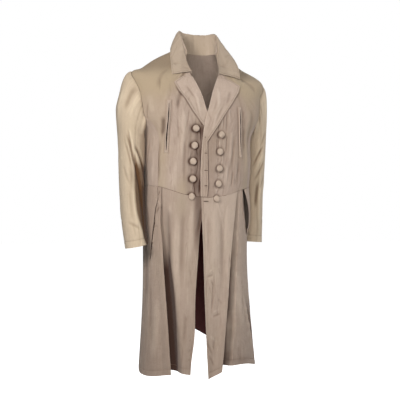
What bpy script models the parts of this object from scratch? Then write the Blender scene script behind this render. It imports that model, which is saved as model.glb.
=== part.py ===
"""Duster coat: a long double-breasted skirted coat, standing in its worn, hollow form.

Metres, +Z up. The origin is the middle of the neck opening, at the height where the shoulder
seams meet the collar. The coat faces -Y, and the wearer's left is +X. Angles run round the body
from the middle of the front, positive to the wearer's left, 180 degrees at the middle of the back.
"""

from collections import namedtuple

import bpy
import numpy as np

WALL = 0.0018
SEAM_GAP = 0.0004
# The fronts' waist seam keeps a little more room at its curved inner corner.
FRONT_WAIST_GAP = 0.0007
LAYER = 0.0026
SEAM_GAP_ANGLE = 0.06

Section = namedtuple("Section", "height half_width front_depth back_depth squareness shift_x centre_y")
BODY_SECTIONS = [
    Section(0.004, 0.084, 0.030, 0.066, 2.0, 0.000, -0.031),
    Section(-0.044, 0.174, 0.047, 0.100, 2.1, 0.000, -0.022),
    Section(-0.086, 0.229, 0.079, 0.117, 2.3, 0.000, -0.015),
    Section(-0.104, 0.251, 0.093, 0.123, 2.4, 0.000, -0.012),
    Section(-0.180, 0.243, 0.125, 0.135, 2.8, 0.000, -0.005),
    Section(-0.260, 0.231, 0.142, 0.137, 2.9, 0.000, 0.000),
    Section(-0.320, 0.204, 0.146, 0.132, 2.7, 0.000, 0.000),
    Section(-0.420, 0.200, 0.146, 0.124, 2.9, -0.002, 0.000),
    Section(-0.520, 0.199, 0.144, 0.120, 2.7, -0.005, 0.000),
    Section(-0.620, 0.197, 0.146, 0.128, 2.55, -0.007, 0.000),
    Section(-0.750, 0.195, 0.150, 0.138, 2.4, -0.007, 0.000),
    Section(-0.950, 0.198, 0.157, 0.148, 2.3, -0.004, 0.000),
    Section(-1.200, 0.214, 0.166, 0.156, 2.2, 0.000, 0.000),
]
NECK_HEIGHT = 0.004
SHOULDER_TIP_HEIGHT = -0.104
CHEST_HEIGHT = -0.262
CENTRE_X = 0.003

AngleHeight = namedtuple("AngleHeight", "angle height")
WAIST_SEAM = [
    AngleHeight(0, -0.557),
    AngleHeight(30, -0.545),
    AngleHeight(60, -0.516),
    AngleHeight(90, -0.507),
    AngleHeight(180, -0.502),
]
HEM = {
    "front_skirt_right": [AngleHeight(-50, -1.163), AngleHeight(-35, -1.168), AngleHeight(-20, -1.175)],
    "front_skirt_left": [
        AngleHeight(-4, -1.192),
        AngleHeight(5, -1.180),
        AngleHeight(14, -1.165),
        AngleHeight(24, -1.158),
    ],
    "side_skirt_right": [
        AngleHeight(-125, -1.150),
        AngleHeight(-100, -1.184),
        AngleHeight(-75, -1.189),
        AngleHeight(-44, -1.172),
    ],
    "side_skirt_left": [
        AngleHeight(8, -1.158),
        AngleHeight(31, -1.152),
        AngleHeight(52, -1.156),
        AngleHeight(72, -1.172),
        AngleHeight(95, -1.184),
        AngleHeight(125, -1.150),
    ],
    "back_skirt": [
        AngleHeight(120, -1.158),
        AngleHeight(150, -1.092),
        AngleHeight(180, -1.056),
        AngleHeight(210, -1.090),
        AngleHeight(240, -1.158),
    ],
}

HeightX = namedtuple("HeightX", "height x")
FRONT_EDGE_LEFT = [
    HeightX(-0.105, 0.053),
    HeightX(-0.180, 0.023),
    HeightX(-0.217, 0.012),
    HeightX(-0.252, 0.001),
    HeightX(-0.290, -0.009),
    HeightX(-0.357, -0.019),
    HeightX(-0.420, -0.024),
    HeightX(-0.560, -0.024),
    HeightX(-0.725, -0.019),
    HeightX(-0.910, -0.015),
    HeightX(-1.096, -0.009),
    HeightX(-1.192, -0.005),
]
FRONT_EDGE_RIGHT = [
    HeightX(-0.105, -0.054),
    HeightX(-0.180, -0.021),
    HeightX(-0.217, -0.010),
    HeightX(-0.252, 0.000),
    HeightX(-0.300, 0.006),
    HeightX(-0.420, 0.006),
    HeightX(-0.560, -0.006),
    HeightX(-0.652, -0.026),
    HeightX(-0.770, -0.037),
    HeightX(-0.910, -0.048),
    HeightX(-1.050, -0.0525),
    HeightX(-1.140, -0.0645),
    HeightX(-1.175, -0.067),
]

HeightAngle = namedtuple("HeightAngle", "height angle")
NECKLINE = [
    HeightAngle(-0.105, 30),
    HeightAngle(-0.086, 38),
    HeightAngle(-0.044, 58),
    HeightAngle(0.004, 72),
]
FRONT_SEAM = [
    HeightAngle(-0.560, 59.5),
    HeightAngle(-0.400, 59.5),
    HeightAngle(-0.340, 60),
    HeightAngle(-0.300, 63),
    HeightAngle(-0.280, 66.5),
    HeightAngle(CHEST_HEIGHT, 71.5),
]
ARMHOLE_FRONT = [
    HeightAngle(CHEST_HEIGHT, 71.5),
    HeightAngle(-0.220, 72.5),
    HeightAngle(-0.178, 75.5),
    HeightAngle(-0.130, 82),
    HeightAngle(SHOULDER_TIP_HEIGHT, 90),
]
ARMHOLE_BACK = [
    HeightAngle(-0.240, 110),
    HeightAngle(-0.200, 108),
    HeightAngle(-0.150, 103),
    HeightAngle(SHOULDER_TIP_HEIGHT, 90),
]
BACK_SEAM = [
    HeightAngle(-0.520, 122),
    HeightAngle(-0.400, 120),
    HeightAngle(-0.300, 115),
    HeightAngle(-0.240, 110),
]
BACK_ARMHOLE_HEIGHT = -0.240
UNDERARM_HEIGHT = -0.305
WAIST_ROW_HEIGHT = -0.540
WAIST_FADE_HEIGHT = -0.400

PLEAT_RIGHT = [
    HeightAngle(-0.500, 55.5),
    HeightAngle(-0.584, 56.0),
    HeightAngle(-0.644, 56.2),
    HeightAngle(-0.708, 54.4),
    HeightAngle(-0.812, 52.4),
    HeightAngle(-0.916, 49.8),
    HeightAngle(-1.060, 46.4),
    HeightAngle(-1.190, 43.5),
]
PLEAT_LEFT = [
    HeightAngle(-0.500, 44.0),
    HeightAngle(-0.612, 40.2),
    HeightAngle(-0.724, 34.8),
    HeightAngle(-0.820, 30.3),
    HeightAngle(-0.912, 26.0),
    HeightAngle(-1.004, 21.4),
    HeightAngle(-1.096, 17.0),
    HeightAngle(-1.190, 11.8),
]
PleatDepth = namedtuple("PleatDepth", "height dip lift floor_angle underlap")
PLEAT_DEPTHS = {
    "right": [
        PleatDepth(-0.500, 0.0032, 0.0000, 0.0, 6.0),
        PleatDepth(-0.600, 0.0120, 0.0020, 0.0, 6.5),
        PleatDepth(-0.750, 0.0220, 0.0050, 0.0, 10.0),
        PleatDepth(-0.950, 0.0300, 0.0080, 1.0, 14.0),
        PleatDepth(-1.190, 0.0360, 0.0100, 2.0, 15.0),
    ],
    "left": [
        PleatDepth(-0.500, 0.0032, 0.0000, 0.0, 6.0),
        PleatDepth(-0.600, 0.0120, 0.0020, 2.0, 6.0),
        PleatDepth(-0.750, 0.0250, 0.0050, 6.0, 6.5),
        PleatDepth(-0.950, 0.0350, 0.0080, 9.0, 8.0),
        PleatDepth(-1.190, 0.0400, 0.0100, 10.0, 9.0),
    ],
}
PLEAT_SLOPE_ANGLES = {"right": 11.0, "left": 6.0}
PLEAT_LIFT_ANGLE = 11.0
SIDE_BACK_ANGLE = 120.0

Slit = namedtuple("Slit", "top_angle end_angle end_height gape flare")
HIP_SLITS = {
    "right": Slit(58.0, 75.0, -0.804, 0.004, 0.003),
    "left": Slit(50.0, 63.0, -0.692, 0.026, 0.006),
}
SLIT_TOP_HEIGHT = -0.510
SLIT_FLARE_ANGLE = 26.0
SLIT_LEAST_GAPE = 0.0012

SKIRT_TOP_HEIGHT = -0.530
SKIRT_HEM_HEIGHT = -1.170
SKIRT_LOWEST_HEIGHT = -1.190
SKIRT_ROWS = 15
FRONT_COLUMNS = 11
SIDE_COLUMNS = 8
STRIP_COLUMNS = 5
REAR_COLUMNS = 7
BACK_COLUMNS = 13
BACK_SKIRT_COLUMNS = 21
LAP_START_ANGLE = 9.0
LAP_END_ANGLE = 24.0
LINING_DEPTH = 0.0032
LINING_WALL = 0.0012

Fold = namedtuple("Fold", "top_angle hem_angle width height start")
SKIRT_FOLDS = [
    Fold(-25, -31, 7, 0.005, -0.60),
    Fold(-88, -92, 12, 0.003, -0.70),
    Fold(30, 12, 7, 0.004, -0.75),
    Fold(75, 70, 11, 0.009, -0.75),
    Fold(104, 108, 9, 0.008, -0.60),
    Fold(138, 141, 9, 0.013, -0.58),
    Fold(163, 164, 8, 0.011, -0.62),
    Fold(190, 192, 9, 0.013, -0.58),
    Fold(216, 219, 9, 0.011, -0.60),
    Fold(246, 249, 9, 0.009, -0.60),
]

LAPEL_RIGHT_OUTER = [
    HeightX(-0.118, -0.080),
    HeightX(-0.144, -0.117),
    HeightX(-0.160, -0.108),
    HeightX(-0.179, -0.098),
    HeightX(-0.202, -0.079),
    HeightX(-0.247, -0.053),
    HeightX(-0.272, -0.035),
    HeightX(-0.298, -0.017),
]
LAPEL_LEFT_OUTER = [
    HeightX(-0.120, 0.084),
    HeightX(-0.145, 0.131),
    HeightX(-0.169, 0.124),
    HeightX(-0.213, 0.095),
    HeightX(-0.251, 0.068),
    HeightX(-0.297, 0.038),
    HeightX(-0.335, 0.012),
    HeightX(-0.357, -0.003),
    HeightX(-0.459, -0.001),
    HeightX(-0.508, 0.001),
    HeightX(-0.552, -0.003),
]

CollarStation = namedtuple(
    "CollarStation", "turn neck_angle neck_height fold_x fold_y fold_z edge_x edge_y edge_z"
)
COLLAR_STATIONS = [
    CollarStation(0.00, 180, 0.0050, 0.000, 0.040, 0.080, 0.000, 0.078, 0.012),
    CollarStation(0.20, 138, 0.0050, 0.044, 0.026, 0.079, 0.062, 0.058, 0.012),
    CollarStation(0.38, 96, 0.0062, 0.067, -0.004, 0.076, 0.100, 0.010, 0.013),
    CollarStation(0.55, 66, -0.004, 0.070, -0.034, 0.048, 0.118, -0.032, -0.004),
    CollarStation(0.72, 56, -0.038, 0.067, -0.055, 0.000, 0.126, -0.064, -0.040),
    CollarStation(0.88, 39, -0.078, 0.060, -0.083, -0.062, 0.130, -0.094, -0.080),
    CollarStation(1.00, 28, -0.1035, 0.052, -0.108, -0.098, 0.130, -0.110, -0.112),
]
COLLAR_SEAM_TURN = 2.2
COLLAR_FOLD_RISE = 0.004

SleeveSection = namedtuple("SleeveSection", "height x y half_width half_depth")
SLEEVE_SECTIONS = {
    "right": [
        SleeveSection(-0.340, 0.2545, 0.000, 0.0490, 0.068),
        SleeveSection(-0.400, 0.2545, -0.004, 0.0475, 0.066),
        SleeveSection(-0.460, 0.2550, -0.012, 0.0465, 0.064),
        SleeveSection(-0.540, 0.2540, -0.026, 0.0465, 0.062),
        SleeveSection(-0.630, 0.2520, -0.045, 0.0445, 0.058),
        SleeveSection(-0.728, 0.2450, -0.066, 0.0410, 0.052),
    ],
    "left": [
        SleeveSection(-0.340, 0.2425, 0.010, 0.0370, 0.068),
        SleeveSection(-0.400, 0.2420, 0.016, 0.0370, 0.067),
        SleeveSection(-0.460, 0.2410, 0.021, 0.0365, 0.065),
        SleeveSection(-0.540, 0.2385, 0.027, 0.0360, 0.063),
        SleeveSection(-0.630, 0.2385, 0.029, 0.0355, 0.059),
        SleeveSection(-0.718, 0.2365, 0.025, 0.0340, 0.053),
    ],
}
CUFF_TILT = {"right": 0.20, "left": 0.06}
CAP_FULLNESS = {"right": 1.0, "left": 0.35}
SLEEVE_CAP_RINGS = 5
SLEEVE_RING_STEP = 0.045
FRONT_SLEEVE_SEAM_HEIGHT = -0.225
BACK_SLEEVE_SEAM_HEIGHT = -0.190

Button = namedtuple("Button", "x height")
BUTTON_RADIUS = 0.0122
BUTTON_HEIGHT = 0.0062
BUTTON_ROWS = {
    "right": [
        Button(-0.0435, -0.310),
        Button(-0.0490, -0.371),
        Button(-0.0540, -0.428),
        Button(-0.0550, -0.490),
        Button(-0.0590, -0.553),
    ],
    "left": [
        Button(0.0510, -0.329),
        Button(0.0450, -0.391),
        Button(0.0430, -0.451),
        Button(0.0395, -0.506),
        Button(0.0320, -0.560),
    ],
}

Welt = namedtuple("Welt", "top_x top_height end_x end_height")
WELTS = {
    "right": Welt(-0.137, -0.212, -0.146, -0.397),
    "left": Welt(0.128, -0.224, 0.133, -0.406),
}
WELT_WIDTH = 0.014
WELT_SLOT = 0.0045
WELT_WALL = 0.0012

UPPER_PIECES = ("front_bodice", "back_bodice", "side_body", "upper_sleeve", "under_sleeve")
Settle = namedtuple("Settle", "pieces x reach_x height reach_height shift_x shift_height")
SETTLES = [
    Settle(UPPER_PIECES, 0.165, 0.080, -0.050, 0.150, 0.000, -0.018),
    Settle(UPPER_PIECES, -0.262, 0.055, -0.090, 0.110, 0.000, 0.018),
    Settle(UPPER_PIECES, -0.310, 0.060, -0.165, 0.070, 0.008, 0.000),
    Settle(("collar",), 0.140, 0.070, -0.040, 0.140, 0.009, 0.000),
    Settle(("collar",), -0.140, 0.070, -0.040, 0.140, 0.008, 0.000),
]

CLOTH = ("coat cotton", (0.47, 0.37, 0.29, 1.0), 0.92)
SLEEVE_CLOTH = ("sleeve cotton", (0.55, 0.44, 0.33, 1.0), 0.92)
LINING = ("lining sateen", (0.045, 0.008, 0.010, 1.0), 0.70)
BUTTON_CLOTH = ("button cotton", (0.52, 0.42, 0.34, 1.0), 0.90)


def smooth_curve(where, nodes, values):
    """A cubic through the table's values, with slopes taken from the neighbouring rows."""
    order = np.argsort(nodes)
    nodes = np.asarray(nodes, float)[order]
    values = np.asarray(values, float)[order]
    slopes = np.gradient(values, nodes)
    where = np.clip(where, nodes[0], nodes[-1])
    left = np.clip(np.searchsorted(nodes, where) - 1, 0, len(nodes) - 2)
    span = nodes[left + 1] - nodes[left]
    t = (where - nodes[left]) / span
    return (
        (2 * t**3 - 3 * t**2 + 1) * values[left]
        + (t**3 - 2 * t**2 + t) * span * slopes[left]
        + (3 * t**2 - 2 * t**3) * values[left + 1]
        + (t**3 - t**2) * span * slopes[left + 1]
    )


def column(table, name):
    return [getattr(row, name) for row in table]


def lookup(table, key, value, where):
    """Reads one named column of a table at the places asked for in another."""
    return smooth_curve(np.asarray(where, float), column(table, key), column(table, value))


def section_at(height):
    """The body's half width, front and back depth, squareness, shift and centre at a height."""
    names = ("half_width", "front_depth", "back_depth", "squareness", "shift_x", "centre_y")
    return [lookup(BODY_SECTIONS, "height", name, height) for name in names]


def ring_point(angle, height):
    """A point of the body's surface, angle in radians."""
    angle, height = np.broadcast_arrays(np.asarray(angle, float), np.asarray(height, float))
    width, front, back, power, shift, centre_y = section_at(height)
    across, along = np.sin(angle), np.cos(angle)
    depth = np.where(along > 0, front, back)
    radius = (np.abs(across / width) ** power + np.abs(along / depth) ** power) ** (-1 / power)
    return np.stack([CENTRE_X + shift + radius * across, centre_y - radius * along, height], axis=-1)


def unit(vectors):
    return vectors / np.linalg.norm(vectors, axis=-1, keepdims=True)


def ring_normal(angle, height):
    """The outward direction of the body's surface, from two small steps along it."""
    step = 0.002
    height = np.minimum(height, NECK_HEIGHT - step)
    round_body = ring_point(angle + step, height) - ring_point(angle - step, height)
    up_body = ring_point(angle, height + step) - ring_point(angle, height - step)
    return unit(np.cross(round_body, up_body))


def body(angle, height, offset=0.0):
    """A point that stands off the body's surface by the offset. The angle is in degrees."""
    angle = np.radians(angle)
    offset = np.asarray(offset, float)[..., None]
    return ring_point(angle, height) + offset * ring_normal(angle, height)


def angle_of(x, height):
    """The angle in degrees at which the front of the body is x across from the centre plane."""
    width, front, _, power, shift, _ = section_at(height)
    away = x - CENTRE_X - shift
    across = np.clip(np.abs(away) / width, 0, 0.999)
    depth = front * (1 - across**power) ** (1 / power)
    return np.degrees(np.arctan2(away, depth))


def grid_faces(rows, columns, wrap=False):
    """Four-sided faces of a grid of points, numbered row by row."""
    number = np.arange(rows * columns).reshape(rows, columns)
    if wrap:
        number = np.concatenate([number, number[:, :1]], axis=1)
    corners = (number[:-1, :-1], number[:-1, 1:], number[1:, 1:], number[1:, :-1])
    return np.stack(corners, axis=-1).reshape(-1, 4)


def point_normals(points, faces):
    """Outward directions at the points, averaged from the faces round each one."""
    first = points[faces[:, 2]] - points[faces[:, 0]]
    second = points[faces[:, 3]] - points[faces[:, 1]]
    face_normals = np.cross(first, second)
    normals = np.zeros_like(points)
    for corner in range(4):
        np.add.at(normals, faces[:, corner], face_normals)
    return unit(normals)


def rim_faces(faces, count):
    """Faces that join the outer and inner skins along the edges that only one face has."""
    edges = np.concatenate([faces[:, [k, (k + 1) % 4]] for k in range(4)])
    present = {tuple(edge) for edge in edges.tolist()}
    free = [edge for edge in edges.tolist() if (edge[1], edge[0]) not in present]
    return [(end, start, start + count, end + count) for start, end in free]


def make_material(finish):
    name, colour, roughness = finish
    material = bpy.data.materials.get(name)
    if material is None:
        material = bpy.data.materials.new(name)
        material.use_nodes = True
        shader = material.node_tree.nodes["Principled BSDF"]
        shader.inputs["Base Color"].default_value = colour
        shader.inputs["Roughness"].default_value = roughness
        shader.inputs["Metallic"].default_value = 0.0
    return material


def settle(name, points):
    """Shifts where the two shoulders and collar halves hang unlike each other, fading with distance."""
    points = np.asarray(points, float)
    moved = points.copy()
    for row in SETTLES:
        if name.startswith(row.pieces):
            across = np.clip(np.abs(points[:, 0] - row.x) / row.reach_x, 0, 1)
            up = np.clip(np.abs(points[:, 2] - row.height) / row.reach_height, 0, 1)
            weight = (np.cos(across * np.pi / 2) * np.cos(up * np.pi / 2)) ** 2
            moved[:, 0] += weight * row.shift_x
            moved[:, 2] += weight * row.shift_height
    return moved


def add_mesh(name, points, faces, finish):
    mesh = bpy.data.meshes.new(name)
    mesh.from_pydata(settle(name, points).tolist(), [], [list(face) for face in faces])
    mesh.shade_smooth()
    mesh.set_sharp_from_angle(angle=np.radians(50))
    mesh.materials.append(make_material(finish))
    piece = bpy.data.objects.new(name, mesh)
    bpy.context.scene.collection.objects.link(piece)
    return piece


def add_wall(name, outer, inner, faces, finish):
    """One closed wall of cloth from its outer points, its inner points and the faces between them."""
    count = len(outer)
    points = np.concatenate([outer, inner])
    skins = [tuple(face) for face in faces.tolist()]
    skins += [tuple(face) for face in (faces[:, ::-1] + count).tolist()]
    return add_mesh(name, points, skins + rim_faces(faces, count), finish)


def add_panel(name, angle, height, offset, finish, wall=WALL):
    """A panel of the body from grids of its angles, heights and offsets."""
    faces = grid_faces(*angle.shape)
    outer = body(angle, height, offset).reshape(-1, 3)
    inner = body(angle, height, offset - wall).reshape(-1, 3)
    return add_wall(name, outer, inner, faces, finish)


def add_sheet(name, points, faces, finish, wall=WALL):
    """A wall whose thickness follows the surface's own directions."""
    return add_wall(name, points, points - wall * point_normals(points, faces), faces, finish)


def ease(value):
    value = np.clip(value, 0, 1)
    return value * value * (3 - 2 * value)


def waist_height(angle):
    return lookup(WAIST_SEAM, "angle", "height", np.abs(angle))


def front_rows():
    """Heights of the rows of a front, from the waist up to the neck."""
    lower = np.linspace(WAIST_ROW_HEIGHT, -0.350, 6)
    middle = np.linspace(-0.325, CHEST_HEIGHT, 4)
    armhole = np.linspace(CHEST_HEIGHT, SHOULDER_TIP_HEIGHT, 7)[1:]
    shoulder = np.linspace(SHOULDER_TIP_HEIGHT, NECK_HEIGHT, 5)[1:]
    return np.concatenate([lower, middle, armhole, shoulder])


def drop_to_waist(angle, height):
    """Bends the level rows near the waist down or up onto the slanting waist seam."""
    share = ease((WAIST_FADE_HEIGHT - height) / (WAIST_FADE_HEIGHT - WAIST_ROW_HEIGHT))
    return height + share * (waist_height(angle) - WAIST_ROW_HEIGHT)


def front_outer_angle(height):
    """The outer edge of a front: the side body seam, then the armhole, then the shoulder seam."""
    seam = lookup(FRONT_SEAM, "height", "angle", height)
    armhole = lookup(ARMHOLE_FRONT, "height", "angle", height)
    outer = np.where(height <= CHEST_HEIGHT, seam, armhole)
    return np.where(height >= SHOULDER_TIP_HEIGHT, 90.0, outer)


def front_inner_angle(height, side):
    """The inner edge of a front: the front edge and roll line, then the neckline."""
    table = FRONT_EDGE_LEFT if side > 0 else FRONT_EDGE_RIGHT
    edge = side * angle_of(lookup(table, "height", "x", height), height)
    neckline = lookup(NECKLINE, "height", "angle", height)
    return np.where(height > NECKLINE[0].height, neckline, edge)


def lap_offset(angle, side):
    """The left front stands off the body where it lies over the right front."""
    if side < 0:
        return np.zeros_like(angle)
    return (LAYER + SEAM_GAP) * (1 - ease((angle - LAP_START_ANGLE) / (LAP_END_ANGLE - LAP_START_ANGLE)))


def build_front(side, name):
    rows = front_rows()
    across = np.linspace(0, 1, FRONT_COLUMNS) ** 0.9
    inner = front_inner_angle(rows, side)
    outer = front_outer_angle(rows) - SEAM_GAP_ANGLE
    angle = inner[:, None] + (outer - inner)[:, None] * across[None, :]
    height = np.repeat(rows[:, None], len(across), axis=1)
    height = drop_to_waist(angle, height)
    height[0] += FRONT_WAIST_GAP
    offset = lap_offset(angle, side)
    add_panel(name, *order_panel(side * angle, height, offset, side), CLOTH)


def order_panel(angle, height, offset, side):
    """Turns a right-hand panel's columns round, so that its faces point outwards."""
    if side > 0:
        return angle, height, offset
    return angle[:, ::-1], height[:, ::-1], offset[:, ::-1]


def side_top_height(share):
    """The lower edge of the armhole, from the front junction to the back one."""
    ends = CHEST_HEIGHT + (BACK_ARMHOLE_HEIGHT - CHEST_HEIGHT) * share
    dip = (CHEST_HEIGHT + BACK_ARMHOLE_HEIGHT) / 2 - UNDERARM_HEIGHT
    return ends - dip * np.sin(np.pi * share) ** 0.8


def side_rows():
    rows = front_rows()
    return rows[rows <= CHEST_HEIGHT + 1e-6]


def side_grid():
    """Angles and heights of a side body, its front edge at the rows of the front."""
    rows = side_rows()
    share = np.linspace(0, 1, SIDE_COLUMNS)
    rise = (rows - WAIST_ROW_HEIGHT) / (CHEST_HEIGHT - WAIST_ROW_HEIGHT)
    height = WAIST_ROW_HEIGHT + rise[:, None] * (side_top_height(share) - WAIST_ROW_HEIGHT)[None, :]
    front = lookup(FRONT_SEAM, "height", "angle", height)
    back = lookup(BACK_SEAM, "height", "angle", height)
    angle = front + (back - front) * share[None, :]
    return angle, drop_to_waist(angle, height)


def build_side_body(side, name):
    angle, height = side_grid()
    angle = angle + SEAM_GAP_ANGLE * np.linspace(1, -1, SIDE_COLUMNS)[None, :]
    height[0] += SEAM_GAP
    add_panel(name, *order_panel(side * angle, height, np.zeros_like(angle), side), CLOTH)


def back_edge():
    """Heights and angles up the back's outer edge: the side body, the armhole, the shoulder."""
    side_angle, side_height = side_grid()
    armhole = np.linspace(BACK_ARMHOLE_HEIGHT, SHOULDER_TIP_HEIGHT, 6)[1:]
    shoulder = np.linspace(SHOULDER_TIP_HEIGHT, NECK_HEIGHT, 5)[1:]
    height = np.concatenate([side_height[:, -1], armhole, shoulder])
    armhole_angle = lookup(ARMHOLE_BACK, "height", "angle", armhole)
    angle = np.concatenate([side_angle[:, -1], armhole_angle, np.full(len(shoulder), 90.0)])
    return height, angle


def build_back():
    rows, outer = back_edge()
    outer = outer + SEAM_GAP_ANGLE
    share = np.linspace(0, 1, BACK_COLUMNS)
    angle = outer[:, None] + (360 - 2 * outer)[:, None] * share[None, :]
    height = np.repeat(rows[:, None], len(share), axis=1)
    height[0] = waist_height(180 - np.abs(angle[0] - 180)) + SEAM_GAP
    add_panel("back_bodice", angle, height, np.zeros_like(angle), CLOTH)


def skirt_folds(angle, height):
    """The skirt's soft folds: each is a rounded ridge that starts low and grows to the hem."""
    total = np.zeros_like(angle)
    for fold in SKIRT_FOLDS:
        grow = ease((fold.start - height) / (fold.start - SKIRT_LOWEST_HEIGHT))
        centre = fold.top_angle + (fold.hem_angle - fold.top_angle) * grow
        away = (np.mod(angle - centre + 180, 360) - 180) / fold.width
        total = total + fold.height * grow * np.exp(-(away**2))
    return total


def pleat_dip(angle_from_pleat, height, word):
    """How far the under layer sinks near a pleat, more towards the hem."""
    table = PLEAT_DEPTHS[word]
    depth = lookup(table, "height", "dip", height)
    floor = lookup(table, "height", "floor_angle", height)
    return -depth * (1 - ease((angle_from_pleat - floor) / PLEAT_SLOPE_ANGLES[word]))


def pleat_lift(angle_from_pleat, height, word):
    """How far the edge of the upper layer stands proud of the body at a pleat."""
    rise = lookup(PLEAT_DEPTHS[word], "height", "lift", height)
    return rise * (1 - ease(angle_from_pleat / PLEAT_LIFT_ANGLE))


def skirt_heights(angle_at_top, angle_at_hem, hem_table, rows):
    """Heights of a skirt panel: even steps from the waist seam down to the hem."""
    share = np.linspace(0, 1, rows)[:, None]
    top = waist_height(180 - np.abs(np.mod(angle_at_top, 360) - 180)) - SEAM_GAP
    hem = lookup(hem_table, "angle", "height", angle_at_hem)
    return top + (hem - top) * share


def build_front_skirt(side, name):
    word = "left" if side > 0 else "right"
    table = FRONT_EDGE_LEFT if side > 0 else FRONT_EDGE_RIGHT
    pleat_table = PLEAT_LEFT if side > 0 else PLEAT_RIGHT
    share = np.linspace(0, 1, FRONT_COLUMNS)

    def angles(height):
        inner = side * angle_of(lookup(table, "height", "x", height), height)
        outer = lookup(pleat_table, "height", "angle", height)
        if side < 0:
            outer = outer + lookup(PLEAT_DEPTHS[word], "height", "underlap", height)
        return inner + (outer - inner) * share[None, :]

    top = angles(np.full((1, 1), SKIRT_TOP_HEIGHT))
    hem = angles(np.full((1, 1), SKIRT_HEM_HEIGHT))
    height = skirt_heights(side * top, side * hem, HEM[name], SKIRT_ROWS)
    angle = angles(height)
    pleat = lookup(pleat_table, "height", "angle", height)
    offset = lap_offset(angle, side) + skirt_folds(side * angle, height)
    bend = pleat_lift if side > 0 else pleat_dip
    offset = offset + bend(pleat - angle, height, word)
    grids = order_panel(side * angle, height, offset, side)
    add_panel(name, *(grid[::-1] for grid in grids), CLOTH)


def slit_angle(slit, height):
    """The angle of the hip slit's line, carried on below its end as a plain column."""
    fall = np.clip((SLIT_TOP_HEIGHT - height) / (SLIT_TOP_HEIGHT - slit.end_height), 0, 1)
    return slit.top_angle + (slit.end_angle - slit.top_angle) * fall**1.3


def build_side_skirt(side, name):
    """The slit divides the grid: a strip in front of it, the rest of the panel behind it."""
    word = "left" if side > 0 else "right"
    slit = HIP_SLITS[word]
    pleat_table = PLEAT_LEFT if side > 0 else PLEAT_RIGHT
    strip = np.linspace(0, 1, STRIP_COLUMNS)
    rear = np.linspace(0, 1, REAR_COLUMNS)
    front_lip, rear_lip = STRIP_COLUMNS - 1, STRIP_COLUMNS

    def angles(height):
        inner = lookup(pleat_table, "height", "angle", height[:, :1])
        if side > 0:
            inner = inner - lookup(PLEAT_DEPTHS[word], "height", "underlap", height[:, :1])
        middle = slit_angle(slit, height[:, :1])
        return np.concatenate(
            [inner + (middle - inner) * strip, middle + (SIDE_BACK_ANGLE - middle) * rear], axis=1
        )

    top = angles(np.full((1, 1), SKIRT_TOP_HEIGHT))
    hem = angles(np.full((1, 1), SKIRT_HEM_HEIGHT))
    height = skirt_heights(side * top, side * hem, HEM[name], SKIRT_ROWS)
    angle = angles(height)
    pleat = lookup(pleat_table, "height", "angle", height)
    number = np.arange(angle.size).reshape(angle.shape)
    lip_height = height[:, front_lip]
    last_open = int(np.sum(lip_height > slit.end_height))
    open_share = np.clip((lip_height - slit.end_height) / (SLIT_TOP_HEIGHT - slit.end_height), 0, 1)
    openness = np.sin(np.pi * open_share) ** 0.8
    radius = section_at(SKIRT_TOP_HEIGHT)[0]
    half_gape = np.degrees((SLIT_LEAST_GAPE + slit.gape * openness) / 2 / radius)
    behind_slit = (angle[:, rear_lip:] - angle[:, rear_lip : rear_lip + 1]) / SLIT_FLARE_ANGLE
    flare = slit.flare * openness[:, None] * (1 - ease(behind_slit))
    angle[:last_open, front_lip] -= half_gape[:last_open]
    angle[:last_open, rear_lip] += half_gape[:last_open]
    height[0] = waist_height(angle[0]) - SEAM_GAP
    number[last_open:, rear_lip] = number[last_open:, front_lip]
    angle[:, -1] -= SEAM_GAP_ANGLE
    bend = pleat_dip if side > 0 else pleat_lift
    offset = skirt_folds(side * angle, height) + bend(angle - pleat, height, word)
    offset[:, rear_lip:] += flare
    quads = np.stack([number[:-1, :-1], number[:-1, 1:], number[1:, 1:], number[1:, :-1]], axis=-1)
    quads = np.delete(quads, front_lip, axis=1).reshape(-1, 4)
    if side > 0:
        quads = quads[:, ::-1]
    outer = body(side * angle, height, offset).reshape(-1, 3)
    inner = body(side * angle, height, offset - WALL).reshape(-1, 3)
    used, compact = np.unique(quads, return_inverse=True)
    add_wall(name, outer[used], inner[used], compact.reshape(-1, 4), CLOTH)


def build_back_skirt():
    share = np.linspace(0, 1, BACK_SKIRT_COLUMNS)
    start = SIDE_BACK_ANGLE + SEAM_GAP_ANGLE
    angle = np.repeat((start + (360 - 2 * start) * share)[None, :], SKIRT_ROWS, axis=0)
    height = skirt_heights(angle[:1], angle[:1], HEM["back_skirt"], SKIRT_ROWS)
    offset = skirt_folds(angle, height)
    add_panel("back_skirt", angle[::-1], height[::-1], offset[::-1], CLOTH)
    lining = (angle[::-2], height[::-2], offset[::-2] - LINING_DEPTH)
    add_panel("back_skirt_lining", *lining, LINING, wall=LINING_WALL)


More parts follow.
